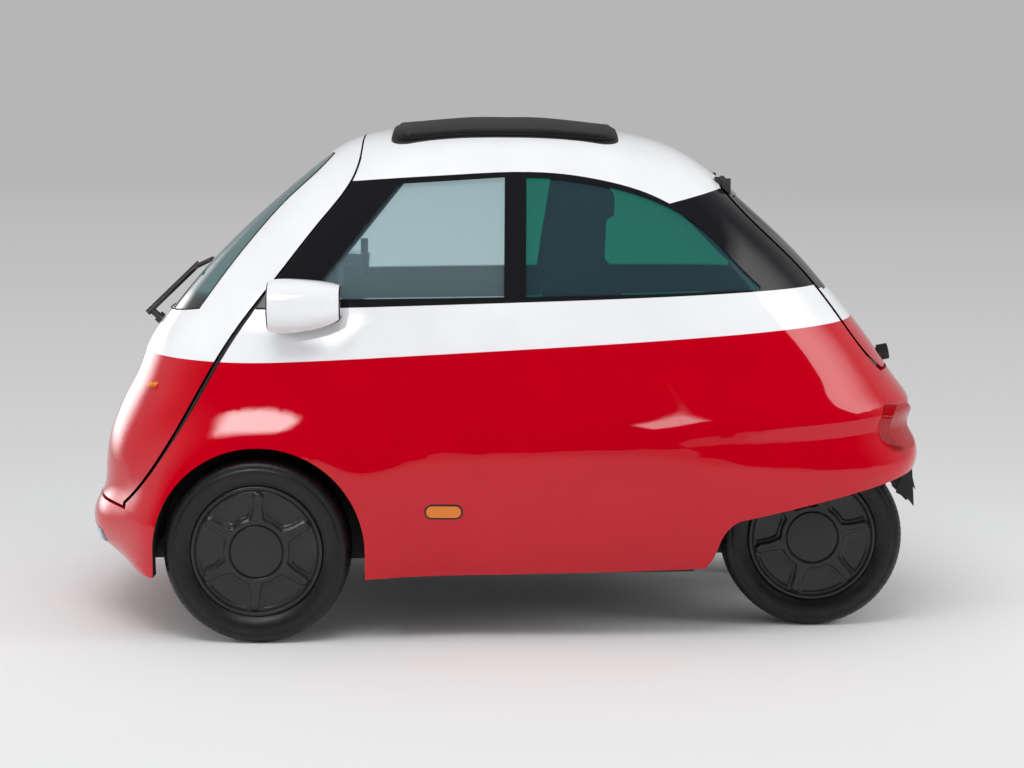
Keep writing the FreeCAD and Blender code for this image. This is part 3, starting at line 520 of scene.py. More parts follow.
# Ring and spokes stand out together, the spokes wider at the ring, with a fine crease along each
RING = 0.090
SPOKES = 6
SPOKE_TIP, SPOKE_HALF, SPOKE_BLEND = 0.152, 0.0125, 0.010
SPREAD_FROM, SPREAD_RUN, SPOKE_SPREAD = 0.125, 0.03, 0.004
RELIEF, RELIEF_EDGE, FIELD_HEIGHT = 0.0084, 0.0035, 0.003
CREASE_FROM, CREASE_RUN, CREASE_HALF, CREASE_DEPTH = 0.1, 0.01, 0.004, 0.0008
# Sunk panels between the spokes, then the ditch and the lip at the rim
PANEL_INSET, PANEL_END, PANEL_EDGE, PANEL_DEPTH = 0.0085, 0.1615, 0.0028, 0.0034
DITCH, DITCH_HALF, DITCH_DEPTH = 0.1690, 0.0028, 0.0028
LIP, LIP_RUN, LIP_HEIGHT = 0.1705, 0.003, 0.0068
SPOKE_TURN = {"front_left": 32.0, "front_right": 25.0, "rear_left": 47.0, "rear_right": 47.0}
# Radii of the points on the cover's face, close together at its edges
COVER_RADII = [0.0, 0.03, 0.055, 0.066, 0.0695, 0.071, 0.0716, 0.0724, 0.0745, 0.0762, 0.0768, 0.078, 0.082]
COVER_RADII += [0.086 + 0.0023 * step for step in range(36)]
COVER_RADII += [0.1680, 0.1690, 0.1700, 0.1712, 0.1725, 0.1737, 0.176, 0.179]
# Rim and back of the wheel, as radii with their distance from its middle
WHEEL_BACK = [(0.1812, 0.0558), (0.182, 0.0535), (0.182, 0.051), (0.179, 0.049), (0.157, 0.047),
              (0.157, -0.047), (0.178, -0.052), (0.178, -0.057), (0.152, -0.057), (0.152, 0.038),
              (0.060, 0.032), (0.060, -0.008), (0.0163, -0.008), (0.0163, 0.030), (0.0, 0.030)]


def cover_height(radius, angle):
    """How far the cover's face stands out at a place given by radius and angle from a spoke."""
    if radius < CAP_END:
        groove = smooth_step((radius - CAP) / GROOVE_EDGE) * CAP_GROOVE
        return CAP_HEIGHT - CAP_DISH * (radius / CAP) ** 2 - groove
    pitch = 2.0 * math.pi / SPOKES
    turn = (angle + pitch / 2.0) % pitch - pitch / 2.0
    along, aside = radius * math.cos(turn), abs(radius * math.sin(turn))
    reach = math.hypot(aside, max(0.0, along - SPOKE_TIP))
    spoke = reach - SPOKE_HALF - SPOKE_SPREAD * smooth_step((SPREAD_FROM - radius) / SPREAD_RUN)
    ring = radius - RING
    mixed = min(spoke, ring) - max(0.0, SPOKE_BLEND - abs(spoke - ring)) ** 2 / (4.0 * SPOKE_BLEND)
    raised = smooth_step(0.5 - mixed / RELIEF_EDGE)
    recess = smooth_step((mixed - PANEL_INSET) / PANEL_EDGE) * smooth_step((PANEL_END - radius) / PANEL_EDGE)
    height = FIELD_HEIGHT + RELIEF * raised - PANEL_DEPTH * recess
    crease = smooth_step(1.0 - reach / CREASE_HALF) * raised
    crease *= smooth_step((radius - CREASE_FROM) / CREASE_RUN)
    lip = smooth_step((radius - LIP) / LIP_RUN)
    ditch = smooth_step(1.0 - abs(radius - DITCH) / DITCH_HALF)
    return height * (1.0 - lip) + LIP_HEIGHT * lip - DITCH_DEPTH * ditch - CREASE_DEPTH * crease


def make_wheel(place, body):
    hub = PIVOTS[body]
    away = math.copysign(1.0, hub.y)
    turn = math.radians(SPOKE_TURN[place])
    rings = [(radius, None) for radius in COVER_RADII] + WHEEL_BACK
    vertices = []
    for radius, height in rings:
        for angle in turns(COVER_STEPS):
            side = COVER_PLANE + cover_height(radius, angle - turn) if height is None else height
            vertices.append(hub + Vector((radius * math.cos(angle), away * side, radius * math.sin(angle))))
    faces = grid_faces(len(rings), COVER_STEPS)
    wheel = piece("cover_" + place, vertices, faces, "cover", body)
    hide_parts("wheel_" + place)


def make_wheels():
    for place in SPOKE_TURN:
        make_tyre(place, place + "_wheel")
        make_wheel(place, place + "_wheel")


# Seat

SEAT_TOP = 0.4003
BENCH_HALF = 0.515
BENCH_FRONT, BENCH_BACK = 0.430, 0.015
BACK_HEIGHT = 0.560
BACK_THICK = 0.110
PAD_CAP = 0.012
PAD_VOXEL = 0.011
PAD_START = 0.6
BENCH_SQUARENESS, HEADREST_SQUARENESS = 9.0, 7.0
CLOTH_PRESSURE, CLOTH_FRAMES = 4.0, 20
CUSHION_THICK = 0.105
CORNER_FROM, CORNER_RUN, CORNER_CUT = 0.35, 0.045, 0.056
SEAM_REACH, SEAM_HALF, SEAM_DEPTH = 0.06, 0.007, 0.010
# Seams, each as the axis that it stands across and its place on that axis
CUSHION_SEAMS = [(1, 0.0), (1, -0.34), (1, 0.34), (1, -0.17), (1, 0.17), (0, 0.34)]
BACK_SEAMS = [(1, 0.0), (1, -0.38), (1, 0.38), (2, 0.16), (2, 0.40)]
HEADREST_SEAMS = [(2, 0.63), (2, 0.735)]
HEADREST_SIDE, HEADREST_HALF = 0.26, 0.125
HEADREST_LOW, HEADREST_HIGH, HEADREST_REAR, HEADREST_FACE = 0.598, 0.763, -0.095, -0.010
STEM_SHIFT, STEM_BACK, STEM_RADIUS, STEM_SIDES = 0.05, -0.055, 0.006, 10
STEM_HEIGHTS = (0.545, 0.58, 0.615)
BACK_FOOT, BACK_LEAN = (0.005, 0.0, SEAT_TOP + 0.030), math.radians(-12.0)
BACK_PLACE = Matrix.Translation(BACK_FOOT) @ Matrix.Rotation(BACK_LEAN, 4, "Y")


def stuffed(name, low, high, power):
    """Padded block between two corners: cloth blown up over a rounded block, kept inside its box."""
    centre, half = (Vector(low) + Vector(high)) / 2.0, (Vector(high) - Vector(low)) / 2.0
    start = half - Vector((PAD_CAP, PAD_CAP, PAD_CAP)) * PAD_START
    shape = bmesh.new()
    bmesh.ops.create_icosphere(shape, subdivisions=5, radius=1.0)
    for vertex in shape.verts:
        spread = sum(abs(part) ** power for part in vertex.co) ** (-1.0 / power)
        vertex.co = Vector(part * spread * size for part, size in zip(vertex.co, start))
    mesh = bpy.data.meshes.new(name)
    shape.to_mesh(mesh)
    shape.free()
    pad = add_object(name, mesh)
    remesh = pad.modifiers.new("remesh", "REMESH")
    remesh.mode, remesh.voxel_size = "VOXEL", PAD_VOXEL
    settle(pad)
    rest = [vertex.co.copy() for vertex in pad.data.vertices]
    cloth = pad.modifiers.new("cloth", "CLOTH")
    cloth.settings.use_pressure = True
    cloth.settings.uniform_pressure_force = CLOTH_PRESSURE
    cloth.settings.effector_weights.gravity = 0.0
    for step in range(CLOTH_FRAMES):
        bpy.context.scene.frame_set(step + 1)
    settle(pad)
    bpy.context.scene.frame_set(1)
    for vertex, first in zip(pad.data.vertices, rest):
        moved = vertex.co - first
        vertex.co = first + moved * min(1.0, PAD_CAP / max(moved.length, 1e-9))
    finer = pad.modifiers.new("finer", "SUBSURF")
    finer.levels = 1
    settle(pad)
    for vertex in pad.data.vertices:
        vertex.co = centre + Vector(max(-size, min(size, part)) for part, size in zip(vertex.co, half))
    return pad


def settle(made):
    """Apply a piece's modifiers."""
    dressed = made.evaluated_get(bpy.context.evaluated_depsgraph_get())
    mesh = bpy.data.meshes.new_from_object(dressed)
    made.modifiers.clear()
    made.data = mesh


def sew(pad, face_axis, lines):
    """Press seams into the face of a pad that looks along an axis."""
    top = max(vertex.co[face_axis] for vertex in pad.data.vertices)
    for vertex in pad.data.vertices:
        near = smooth_step(1.0 - (top - vertex.co[face_axis]) / SEAM_REACH)
        for axis, place in lines:
            gap = (vertex.co[axis] - place) / SEAM_HALF
            vertex.co[face_axis] -= SEAM_DEPTH * near * math.exp(-gap * gap)


def dress_pad(pad, place=None):
    if place is not None:
        pad.data.transform(place)
    pad.data.materials.clear()
    pad.data.materials.append(MATERIALS["seat"])
    finish_mesh(pad)
    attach(pad, "body")


def make_seat():
    cushion = stuffed("bench_cushion", (BENCH_BACK, -BENCH_HALF, SEAT_TOP),
                      (BENCH_FRONT, BENCH_HALF, SEAT_TOP + CUSHION_THICK), BENCH_SQUARENESS)
    for vertex in cushion.data.vertices:
        narrow = CORNER_CUT * smooth_step((abs(vertex.co.y) - CORNER_FROM) / CORNER_RUN)
        vertex.co.x -= narrow * (vertex.co.x - BENCH_BACK) / (BENCH_FRONT - BENCH_BACK)
    sew(cushion, 2, CUSHION_SEAMS)
    dress_pad(cushion)
    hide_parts("seat_cushion")
    back = stuffed("bench_back", (-BACK_THICK, -BENCH_HALF, 0.0), (0.0, BENCH_HALF, BACK_HEIGHT),
                   BENCH_SQUARENESS)
    sew(back, 0, BACK_SEAMS)
    dress_pad(back, BACK_PLACE)
    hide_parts("seat_back")
    for place, side in SIDES:
        middle = side * HEADREST_SIDE
        head = stuffed("headrest_" + place, (HEADREST_REAR, middle - HEADREST_HALF, HEADREST_LOW),
                       (HEADREST_FACE, middle + HEADREST_HALF, HEADREST_HIGH), HEADREST_SQUARENESS)
        sew(head, 0, HEADREST_SEAMS)
        dress_pad(head, BACK_PLACE)
        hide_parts("headrests")
        vertices, faces = [], []
        for shift in (-STEM_SHIFT, STEM_SHIFT):
            bar = [BACK_PLACE @ Vector((STEM_BACK, middle + shift, height)) for height in STEM_HEIGHTS]
            more, quads = tube(bar, STEM_RADIUS, STEM_SIDES)
            faces += [tuple(index + len(vertices) for index in quad) for quad in quads]
            vertices += more
        piece("headrest_stems_" + place, vertices, faces, "steel", "body")


# Fabric sunroof

ROOF_FRONT, ROOF_REAR, ROOF_HALF = 0.335, -0.304, 0.381
ROOF_SQUARENESS = 9.0
ROOF_COLUMNS, ROOF_ROWS = 96, 72
FABRIC, FABRIC_SINK, EDGE_INSET = 0.0022, 0.0004, 0.985
# Bows under the cover, with the sag between them, the ripples near the edge and the drop at the hem
BOWS = (-0.10, 0.12)
SAG, SAG_RUN, SAG_POWER = 0.0022, 0.11, 6
RIPPLE, RIPPLES_ACROSS, RIPPLES_ALONG = 0.0006, 55.0, 9.0
RIPPLE_FROM, RIPPLE_RUN = 0.7, 0.25
DROP_FROM, DROP_RUN, HEM_DROP = 0.955, 0.045, 0.0085
HEM_SINK, HEM_RADIUS = 0.0025, 0.0034
STUDS = (("front", 0.285), ("rear", -0.055))
STUD_SIDE, STUD_RADIUS, STUD_HEIGHT = 0.352, 0.0095, 0.004
BUTTON_STEPS = 24
BUTTON_OUTLINE = [(0.02, 1.0), (0.45, 0.92), (0.75, 0.75), (0.92, 0.45), (1.0, 0.1), (1.0, -0.6)]


def roof_edge(share, side_share):
    """Place on the cover's plan for shares from -1 to 1, its corners rounded."""
    middle, half = (ROOF_FRONT + ROOF_REAR) / 2.0, (ROOF_FRONT - ROOF_REAR) / 2.0
    power = ROOF_SQUARENESS
    length = (abs(share) ** power + abs(side_share) ** power) ** (1.0 / power)
    scale = max(abs(share), abs(side_share)) / max(1e-9, length)
    return middle + half * share * scale, ROOF_HALF * side_share * scale


def make_sunroof():
    cad = surface("sunroof_cover")
    lift = Vector((0.0, 0.0, FABRIC))
    top, under = [], []
    for row in range(ROOF_ROWS + 1):
        for column in range(ROOF_COLUMNS + 1):
            share, side_share = 2.0 * column / ROOF_COLUMNS - 1.0, 2.0 * row / ROOF_ROWS - 1.0
            x, y = roof_edge(share, side_share)
            inside_x, inside_y = roof_edge(share * EDGE_INSET, side_share * EDGE_INSET)
            hit = cad.ray_cast(Vector((inside_x, inside_y, OUTSIDE)), -UP)[0]
            edge = max(abs(share), abs(side_share))
            sag = SAG * (1.0 - edge ** SAG_POWER) * min(abs(x - bow) / SAG_RUN for bow in BOWS)
            ripple = RIPPLE * math.sin(RIPPLES_ACROSS * y + RIPPLES_ALONG * x)
            ripple *= smooth_step((edge - RIPPLE_FROM) / RIPPLE_RUN)
            drop = HEM_DROP * smooth_step((edge - DROP_FROM) / DROP_RUN)
            spot = Vector((x, y, hit.z - FABRIC_SINK - sag - ripple - drop))
            top.append(spot)
            under.append(spot - lift)
    faces, border = slab_faces(ROOF_COLUMNS, ROOF_ROWS)
    cover = piece("sunroof_fabric", top + under, faces, "roof_cloth", "body")
    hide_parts("sunroof_cover")
    hem_line = [top[index] - Vector((0.0, 0.0, HEM_SINK)) for index in border]
    vertices, quads = tube(hem_line, HEM_RADIUS, closed=True)
    piece("sunroof_hem", vertices, quads, "roof_cloth", "body")
    for end, x in STUDS:
        for place, side in SIDES:
            hit, normal = cad.ray_cast(Vector((x, side * STUD_SIDE, OUTSIDE)), -UP)[:2]
            button(f"sunroof_stud_{end}_{place}", hit, normal, STUD_RADIUS, STUD_HEIGHT, "plastic")


def button(name, centre, normal, radius, height, look):
    """Low domed disc on a surface of the body."""
    turn = Vector(normal).to_track_quat("Z", "Y").to_matrix()
    vertices = []
    for share, rise in BUTTON_OUTLINE:
        for angle in turns(BUTTON_STEPS):
            reach = radius * share
            spot = Vector((reach * math.cos(angle), reach * math.sin(angle), height * rise))
            vertices.append(centre + turn @ spot)
    rows = len(BUTTON_OUTLINE)
    faces = grid_faces(rows, BUTTON_STEPS) + end_faces(rows, BUTTON_STEPS)
    piece(name, vertices, faces, look, "body")


# Lamps, seals and fittings

POD_SIDE, POD_FACE, POD_HEIGHT = 0.672, 0.656, 0.939
LAMP_RADIUS, RING_BAR, RING_AHEAD = 0.0635, 0.0028, 0.0015
REFLECTOR_RADIUS, REFLECTOR_DEPTH, REFLECTOR_AHEAD = 0.059, 0.0028, 0.0004
MIRROR_FACE, MIRROR_HEIGHT = 0.4618, 0.949
MIRROR_HALF_WIDE, MIRROR_HALF_HIGH, MIRROR_BAR = 0.049, 0.042, 0.0024
OVAL_STEPS = 48


def oval(x, y, z, half_wide, half_high):
    """Points round an oval that faces along the car."""
    return [Vector((x, y + half_wide * math.cos(angle), z + half_high * math.sin(angle)))
            for angle in turns(OVAL_STEPS)]


def make_lamps():
    for place, side in SIDES:
        y = side * POD_SIDE
        ring = oval(POD_FACE + RING_AHEAD, y, POD_HEIGHT, LAMP_RADIUS, LAMP_RADIUS)
        vertices, faces = tube(ring, RING_BAR, closed=True)
        piece("lamp_ring_" + place, vertices, faces, "gloss_black", "body")
        centre = Vector((POD_FACE + REFLECTOR_AHEAD, y, POD_HEIGHT))
        button("lamp_reflector_" + place, centre, (1.0, 0.0, 0.0), REFLECTOR_RADIUS, REFLECTOR_DEPTH,
               "mirror")
        edge = oval(MIRROR_FACE, y, MIRROR_HEIGHT, MIRROR_HALF_WIDE, MIRROR_HALF_HIGH)
        vertices, faces = tube(edge, MIRROR_BAR, closed=True)
        piece("mirror_rim_" + place, vertices, faces, "plastic", "body")


def seen_from(side, tree, x, z):
    """First point of a surface, and its normal, at a place of the side view."""
    return tree.ray_cast(Vector((x, OUTSIDE * side, z)), Vector((0.0, -side, 0.0)))[:2]


def lay(tree, x, z, side, depth=0.0):
    """Point of the body's side at a place of the side view, moved in by depth."""
    hit, normal = seen_from(side, tree, x, z)
    return None if hit is None else hit - normal * depth


def spread(low, high, steps):
    """Numbers from one to another in equal steps."""
    return [low + (high - low) * step / steps for step in range(steps + 1)]


def between(points, value):
    """Second number at a value of the first, along points in order."""
    for (low, first), (high, last) in zip(points, points[1:]):
        if value <= high:
            break
    share = min(1.0, max(0.0, (value - low) / (high - low)))
    return first + (last - first) * share


MARKER_PLACE, MARKER_HALF_LONG, MARKER_HALF_HIGH = (0.178, 0.378), 0.0508, 0.0188
MARKER_BAR, MARKER_SINK = 0.0026, 0.0002
MARKER_STEPS = 64


def capsule(place, half_long, half_high, count):
    """Points round a lozenge in the side view."""
    points = []
    for angle in turns(count):
        middle = place[0] + math.copysign(half_long - half_high, math.cos(angle))
        points.append((middle + half_high * math.cos(angle), place[1] + half_high * math.sin(angle)))
    return points


def make_marker_surrounds():
    tree = surface(*PANELS)
    outline = capsule(MARKER_PLACE, MARKER_HALF_LONG, MARKER_HALF_HIGH, MARKER_STEPS)
    for place, side in SIDES:
        ring = [lay(tree, x, z, side, MARKER_SINK) for x, z in outline]
        vertices, faces = tube([point for point in ring if point is not None], MARKER_BAR, closed=True)
        piece("marker_surround_" + place, vertices, faces, "plastic", "body")


# Radius of the door's rubber by height, and the heights that it runs between
DOOR_SEAL_RADII = [(0.46, 0.0010), (0.56, 0.0030), (0.66, 0.0052), (0.80, 0.0055), (0.90, 0.0048),
                   (0.935, 0.0032), (0.965, 0.0014), (1.34, 0.0010)]
DOOR_SEAL_LOW, DOOR_SEAL_HIGH, DOOR_SEAL_STEPS = 0.462, 1.335, 96
DOOR_SEAL_BACK, DOOR_SEAL_SINK = 0.9, 0.25
DOOR_SEAL_PASSES, DOOR_SEAL_SIDES = 4, 10
NOSE_END = 1.25
SCAN_START, SCAN_END = 0.006, 0.0001
SIDE_FROM, SIDE_FACING = 0.2, 0.12


def edge_ahead(tree, z, side):
    """Foremost point of a panel's outer side at a height, past its cut edge, and the normal there."""
    x, step = NOSE_END, SCAN_START
    while step > SCAN_END:
        hit, normal = seen_from(side, tree, x, z)
        if hit is not None and hit.y * side > SIDE_FROM and normal.y * side > SIDE_FACING:
            x, step, found = x + step, step / 2.0, (hit, normal)
        x -= step
    return found


def make_door_seals():
    """Rubber that shows in the gap behind the door, thickest over the wheel."""
    tree = surface(*PANELS, "roof_panel", *FRAMES)
    for place, side in SIDES:
        points, radii = [], []
        for z in spread(DOOR_SEAL_LOW, DOOR_SEAL_HIGH, DOOR_SEAL_STEPS):
            hit, normal = edge_ahead(tree, z, side)
            radii.append(between(DOOR_SEAL_RADII, z))
            back = (normal * normal.x - Vector((1.0, 0.0, 0.0))).normalized()
            points.append(hit + (back * DOOR_SEAL_BACK - normal * DOOR_SEAL_SINK) * radii[-1])
        for _ in range(DOOR_SEAL_PASSES):
            middle = [(before + point * 2.0 + after) / 4.0
                      for before, point, after in zip(points, points[1:], points[2:])]
            points = points[:1] + middle + points[-1:]
        vertices, faces = tube(points, radii, DOOR_SEAL_SIDES)
        piece("door_seal_" + place, vertices, faces, "seal", "body")


# Line between side panels and window frames on the side view, and the stretch before the headlamp
BELT = [(-0.900, 0.978), (0.720, 0.922)]
BELT_SEAL_REAR, BELT_SEAL_FRONT, BELT_SEAL_STEPS = 0.662, 0.702, 8
BELT_BAR = 0.0030
SEAL_SINK = 0.0004


def make_belt_seals():
    """Short strip under the pane between the door and the headlamp."""
    tree = surface(*PANELS, *FRAMES)
    for place, side in SIDES:
        line = [lay(tree, x, between(BELT, x), side, SEAL_SINK)
                for x in spread(BELT_SEAL_REAR, BELT_SEAL_FRONT, BELT_SEAL_STEPS)]
        vertices, faces = tube(line, BELT_BAR)
        piece("belt_seal_" + place, vertices, faces, "seal", "body")


# Heights of the windscreen's side edges, and the rise of its foot from its corner on the side view
SCREEN_LOW, SCREEN_HIGH, SCREEN_STEPS = 0.913, 1.342, 60
SCREEN_CORNER = (0.875, 0.911)
SCREEN_FOOT_RISE = (0.813 - 0.911) / (1.400 - 0.875)
SCREEN_GAP = 0.0008
GASKET_REACH, GASKET_THICK, GASKET_PROUD, GASKET_SIDES = 1.12, 0.0022, 0.5, 12
FOOT_BAR, FOOT_STEPS, FOOT_PASSES = 0.0024, 40, 6


def gasket(outer, inner):
    """Vertices and faces of a flat rubber bar between two lines of points that run side by side."""
    vertices = []
    last = len(outer) - 1
    for index, (edge, pane) in enumerate(zip(outer, inner)):
        half = (pane - edge) / 2.0
        along = outer[min(index + 1, last)] - outer[max(index - 1, 0)]
        rise = half.cross(along).normalized()
        rise *= math.copysign(1.0, rise.x)
        for angle in turns(GASKET_SIDES):
            flat = (edge + pane) / 2.0 + half * math.cos(angle) * GASKET_REACH
            vertices.append(flat + rise * (math.sin(angle) + GASKET_PROUD) * GASKET_THICK)
    return vertices, grid_faces(last + 1, GASKET_SIDES) + end_faces(last + 1, GASKET_SIDES)


def make_screen_seals():
    """Black rubber round the windscreen, on the door."""
    shell, pane, both = surface("door_shell"), surface("windscreen"), surface("door_shell", "windscreen")
    for place, side in SIDES:
        outer, inner = [], []
        for z in spread(SCREEN_LOW, SCREEN_HIGH, SCREEN_STEPS):
            outer.append(edge_ahead(shell, z, side)[0])
            inner.append(lay(pane, outer[-1].x + SCREEN_GAP, z, side))
        vertices, faces = gasket(outer, inner)
        piece("screen_seal_" + place, vertices, faces, "seal", "front_door")
    corner = abs(outer[0].y)
    foot = []
    for y in spread(corner, -corner, FOOT_STEPS):
        x = 1.0
        for _ in range(FOOT_PASSES):
            z = SCREEN_CORNER[1] + SCREEN_FOOT_RISE * (x - SCREEN_CORNER[0])
            hit, normal = both.ray_cast(Vector((OUTSIDE, y, z)), Vector((-1.0, 0.0, 0.0)))[:2]
            x = hit.x
        foot.append(hit - normal * SEAL_SINK)
    vertices, faces = tube(foot, FOOT_BAR)
    piece("screen_seal_foot", vertices, faces, "seal", "front_door")


LINING_ROWS, LINING_COLUMNS = 24, 12
LINING_GAP, LINING_REACH = 0.004, 0.012
LINING_EDGE, LINING_SWELL, LINING_POWER = 0.003, 0.011, 6
# Heights that a pillar runs between, and its front and rear edges as heights with their places along the car
PILLAR_LOW, PILLAR_HIGH = 0.935, 1.285
PILLAR_FRONT = [(0.93, -0.085), (1.04, -0.098), (1.29, -0.136)]
PILLAR_REAR = [(0.93, -0.315), (1.03, -0.305), (1.06, -0.262), (1.17, -0.268), (1.18, -0.290),
               (1.24, -0.292), (1.25, -0.280), (1.29, -0.276)]


def hug(tree, x, z, side):
    """How far from the middle a lining may stand to stay inside the body round a place of the side view."""
    found = []
    for shift in (-LINING_REACH, 0.0, LINING_REACH):
        for rise in (-LINING_REACH, 0.0, LINING_REACH):
            hit = tree.ray_cast(Vector((x + shift, 0.0, z + rise)), Vector((0.0, side, 0.0)))[0]
            if hit is not None:
                found.append(abs(hit.y))
    return min(found) - LINING_GAP


def make_linings():
    """Dark moulded linings inside the cabin, between the side windows."""
    tree = surface(*PANELS, "roof_panel", *FRAMES, "quarter_windows", "sliding_windows")
    faces = slab_faces(LINING_COLUMNS, LINING_ROWS)[0]
    for place, side in SIDES:
        outer, inner = [], []
        for z in spread(PILLAR_LOW, PILLAR_HIGH, LINING_ROWS):
            for share in spread(0.0, 1.0, LINING_COLUMNS):
                x = between(PILLAR_FRONT, z) * (1.0 - share) + between(PILLAR_REAR, z) * share
                y = hug(tree, x, z, side)
                thick = LINING_EDGE + LINING_SWELL * (1.0 - abs(2.0 * share - 1.0) ** LINING_POWER)
                outer.append(Vector((x, side * y, z)))
                inner.append(Vector((x, side * (y - thick), z)))
        piece("pillar_lining_" + place, outer + inner, faces, "lining", "body")


def make_pieces():
    make_wheels()
    make_seat()
    make_sunroof()
    make_lamps()
    make_marker_surrounds()
    make_door_seals()
    make_belt_seals()
    make_screen_seals()
    make_linings()


# Camera, floor and lights

BACKDROP = 0.468
WORLD_FILL = 0.62
ROOM_TINT = (0.995, 1.0, 1.012, 1.0)
# Shares of a mirror ray's direction between which the backdrop ends, along Y, and dims, along Z
ROOM_NEAR, ROOM_FAR = -0.3, 0.35
DIM_START, DIM_END, DIM_LAST = 0.45, 0.75, 0.2
# Brightness of the floor that shines evenly, by share of the way from behind the car to before it; it is
# painted fall-off of light, darker the further behind the car
FLOOR_SIZE = 400.0
FLOOR_REAR, FLOOR_FRONT = -12.0, 3.0
FLOOR_PAINTED_FALLOFF = [(0.0, 0.545), (0.57, 0.635), (0.75, 0.71), (0.867, 0.80), (1.0, 0.83)]
FLOOR_COOLING = 1.012
# Distances from the car at which the floor turns into the backdrop
HORIZON_NEAR, HORIZON_FAR = 9.0, 32.0
# The floor near the car takes light and shadow, and gives way to the even floor further out
LIT_NEAR, LIT_FAR = 1.6, 3.6
# Painted shade: the lit floor's colour darkens towards +Y, where the lamps shine brighter, to even out their
# light
LIT_START, LIT_END, LIT_PAINTED_FIRST, LIT_PAINTED_LAST = 0.2, 1.7, 0.865, 0.80
# Painted cooling: the lit floor is made bluer to offset the red light that the car bounces onto it
LIT_PAINTED_COOLING = 1.015


def make_camera():
    camera = add_object("camera", bpy.data.cameras.new("camera"))
    camera.data.sensor_width = SENSOR
    camera.data.lens = FOCAL_PIXELS * SENSOR / PICTURE_WIDTH
    level = Vector((math.sin(CAMERA_YAW), -math.cos(CAMERA_YAW), 0.0))
    right = Vector((-math.cos(CAMERA_YAW), -math.sin(CAMERA_YAW), 0.0))
    ahead = level * math.cos(CAMERA_PITCH) - UP * math.sin(CAMERA_PITCH)
    up = right.cross(ahead)
    cosine, sine = math.cos(CAMERA_ROLL), math.sin(CAMERA_ROLL)
    axes = Matrix((right * cosine - up * sine, right * sine + up * cosine, -ahead)).transposed()
    camera.matrix_world = Matrix.Translation(CAMERA_PLACE) @ axes.to_4x4()
    bpy.context.scene.camera = camera


def make_floor():
    mesh = bpy.data.meshes.new("floor")
    half = FLOOR_SIZE / 2.0
    mesh.from_pydata([(-half, -half, 0.0), (half, -half, 0.0), (half, half, 0.0), (-half, half, 0.0)], [],
                     [(0, 1, 2, 3)])
    floor = add_object("floor", mesh)
    graph = material_graph("studio_floor")
    place = graph.axes()
    # Painted fall-off of light: the floor that shines by itself darkens the further it lies behind the car.
    painted_falloff = graph.add("FloatCurve", {"Value": graph.span(place["Y"], FLOOR_REAR, FLOOR_FRONT)})
    points = painted_falloff.mapping.curves[0].points
    points[0].location = FLOOR_PAINTED_FALLOFF[0]
    points[1].location = FLOOR_PAINTED_FALLOFF[-1]
    for spot in FLOOR_PAINTED_FALLOFF[1:-1]:
        points.new(*spot)
    painted_falloff.mapping.update()
    far = graph.add("VectorMath", {0: graph.place()}, operation="LENGTH").outputs["Value"]
    shade = graph.blend_numbers(graph.span(far, HORIZON_NEAR, HORIZON_FAR), painted_falloff, BACKDROP)
    tone = graph.add("CombineColor", {0: shade, 1: shade, 2: graph.math("MULTIPLY", shade, FLOOR_COOLING)})
    # Painted shade and cooling on the lit floor, to even out the lamps and offset the car's red bounce.
    near = graph.span(place["Y"], LIT_START, LIT_END, LIT_PAINTED_FIRST, LIT_PAINTED_LAST)
    painted_cool = graph.math("MULTIPLY", near, LIT_PAINTED_COOLING)
    lit = graph.add("BsdfDiffuse", {"Color": graph.add("CombineColor", {0: near, 1: painted_cool, 2: painted_cool})})
    even = graph.add("Emission", {"Color": tone})
    graph.show(graph.add("MixShader", {0: graph.span(far, LIT_NEAR, LIT_FAR), 1: lit, 2: even}))
    mesh.materials.append(graph.owner)


def make_world():
    """Even grey light, and for mirrors a backdrop behind the car and a dark room before it."""
    world = bpy.data.worlds.new("studio")
    bpy.context.scene.world = world
    graph = Graph(world, "OutputWorld")
    rays = graph.add("LightPath")
    direction = graph.add("SeparateXYZ", {0: graph.add("TexCoord").outputs["Generated"]}).outputs
    room = graph.span(direction["Y"], ROOM_NEAR, ROOM_FAR, BACKDROP, 0.0)
    height = graph.span(direction["Z"], DIM_START, DIM_END, 1.0, DIM_LAST)
    wall = graph.math("MULTIPLY", room, height)
    fill = graph.blend_numbers(rays.outputs["Is Glossy Ray"], WORLD_FILL, wall)
    seen = graph.math("MAXIMUM", rays.outputs["Is Camera Ray"], rays.outputs["Is Transmission Ray"])
    level = graph.blend_numbers(seen, fill, BACKDROP)
    graph.show(graph.add("Background", {"Color": ROOM_TINT, "Strength": level}))


def heading(azimuth, elevation):
    """Direction given by degrees from the car's left towards its front, and degrees above level."""
    turn, rise = math.radians(azimuth), math.radians(elevation)
    return Vector((math.sin(turn) * math.cos(rise), math.cos(turn) * math.cos(rise), math.sin(rise)))


def panel_light(name, place, target, along, width, height, radiance):
    """Rectangular lamp that faces a target, its width laid along a direction."""
    light = bpy.data.lights.new(name, "AREA")
    light.shape = "RECTANGLE"
    light.size, light.size_y = width, height
    light.energy = radiance * math.pi * width * height
    lamp = add_object(name, light)
    back = (place - target).normalized()
    side = (along - back * along.dot(back)).normalized()
    turn = Matrix((side, back.cross(side), back)).transposed()
    lamp.matrix_world = Matrix.Translation(place) @ turn.to_4x4()
    lamp.visible_camera = False
    return lamp


def lamp_to(name, place, target, width, height, radiance):
    """Soft lamp that lights the car without a mirror image of its own."""
    place, target = Vector(place), Vector(target)
    level = UP.cross(place - target)
    lamp = panel_light(name, place, target, level, width, height, radiance)
    lamp.visible_glossy = False


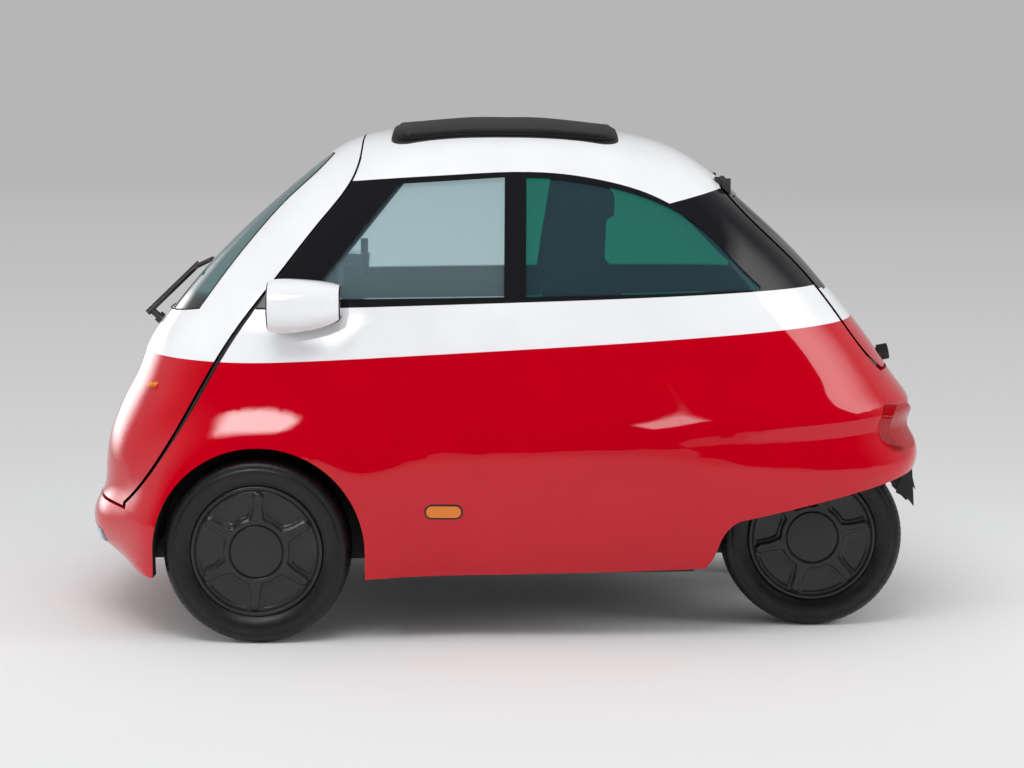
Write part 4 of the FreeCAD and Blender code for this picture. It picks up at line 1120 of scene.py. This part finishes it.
def card(name, target, first, last, distance, width, radiance, fades):
    """Pale card that only shows as a reflection, between two headings from a target; its four edges fade."""
    target = Vector(target)
    start, end = target + heading(*first) * distance, target + heading(*last) * distance
    lamp = panel_light(name, (start + end) / 2.0, target, end - start, (end - start).length, width, radiance)
    lamp.visible_diffuse = False
    lamp.visible_transmission = False
    graph = Graph(lamp.data, "OutputLight")
    spot = graph.add("SeparateXYZ", {0: graph.add("NewGeometry").outputs["Parametric"]}).outputs
    strength = 1.0
    for axis, edge, fade in zip("XXYY", (0.0, 1.0, 0.0, 1.0), fades):
        span = {"Value": spot[axis], "From Min": edge, "From Max": abs(edge - fade)}
        ramp = graph.add("MapRange", span, interpolation_type="SMOOTHSTEP")
        strength = graph.math("MULTIPLY", strength, ramp.outputs["Result"])
    graph.show(graph.add("Emission", {"Strength": strength}))


# Name, place, target, width, height and radiance of each lamp
LAMPS = [
    ("top_light", (0.0, 1.9, 4.2), (0.0, 0.3, 0.6), 4.4, 0.7, 0.4),
    ("key_light", (0.9, 3.3, 4.6), (0.2, 0.2, 0.6), 3.4, 1.2, 6.6),
    ("front_light", (4.6, 1.8, 1.5), (0.9, 0.0, 0.6), 1.6, 2.2, 3.7),
    ("rear_light", (-5.0, 1.4, 2.4), (-1.0, 0.0, 0.6), 2.4, 2.0, 4.7),
]
# Name, target, first and last heading, distance, width, radiance and the fades of each card
CARDS = [
    ("fender_card", (0.72, 0.68, 0.64), (-5.0, 29.0), (90.0, 47.0), 1.5, 0.46, 13.5,
     (0.12, 0.3, 0.35, 0.35)),
    ("nose_card", (1.1, 0.38, 0.55), (122.0, 6.0), (168.0, 6.0), 6.0, 2.6, 3.5,
     (0.45, 0.3, 0.35, 0.35)),
    ("crease_card", (-0.6, 0.66, 0.63), (-7.5, 8.0), (-18.0, 19.5), 6.0, 0.5, 5.5,
     (0.1, 0.25, 0.25, 0.25)),
    ("quarter_card", (-0.9, 0.52, 0.72), (-70.0, 36.0), (-122.0, 36.0), 5.0, 2.2, 4.2,
     (0.04, 0.8, 0.2, 0.2)),
]


def make_lights():
    for settings in LAMPS:
        lamp_to(*settings)
    for settings in CARDS:
        card(*settings)


dress_nodes()
make_pieces()
make_camera()
make_floor()
make_world()
make_lights()
bpy.context.scene.view_settings.view_transform = "Standard"
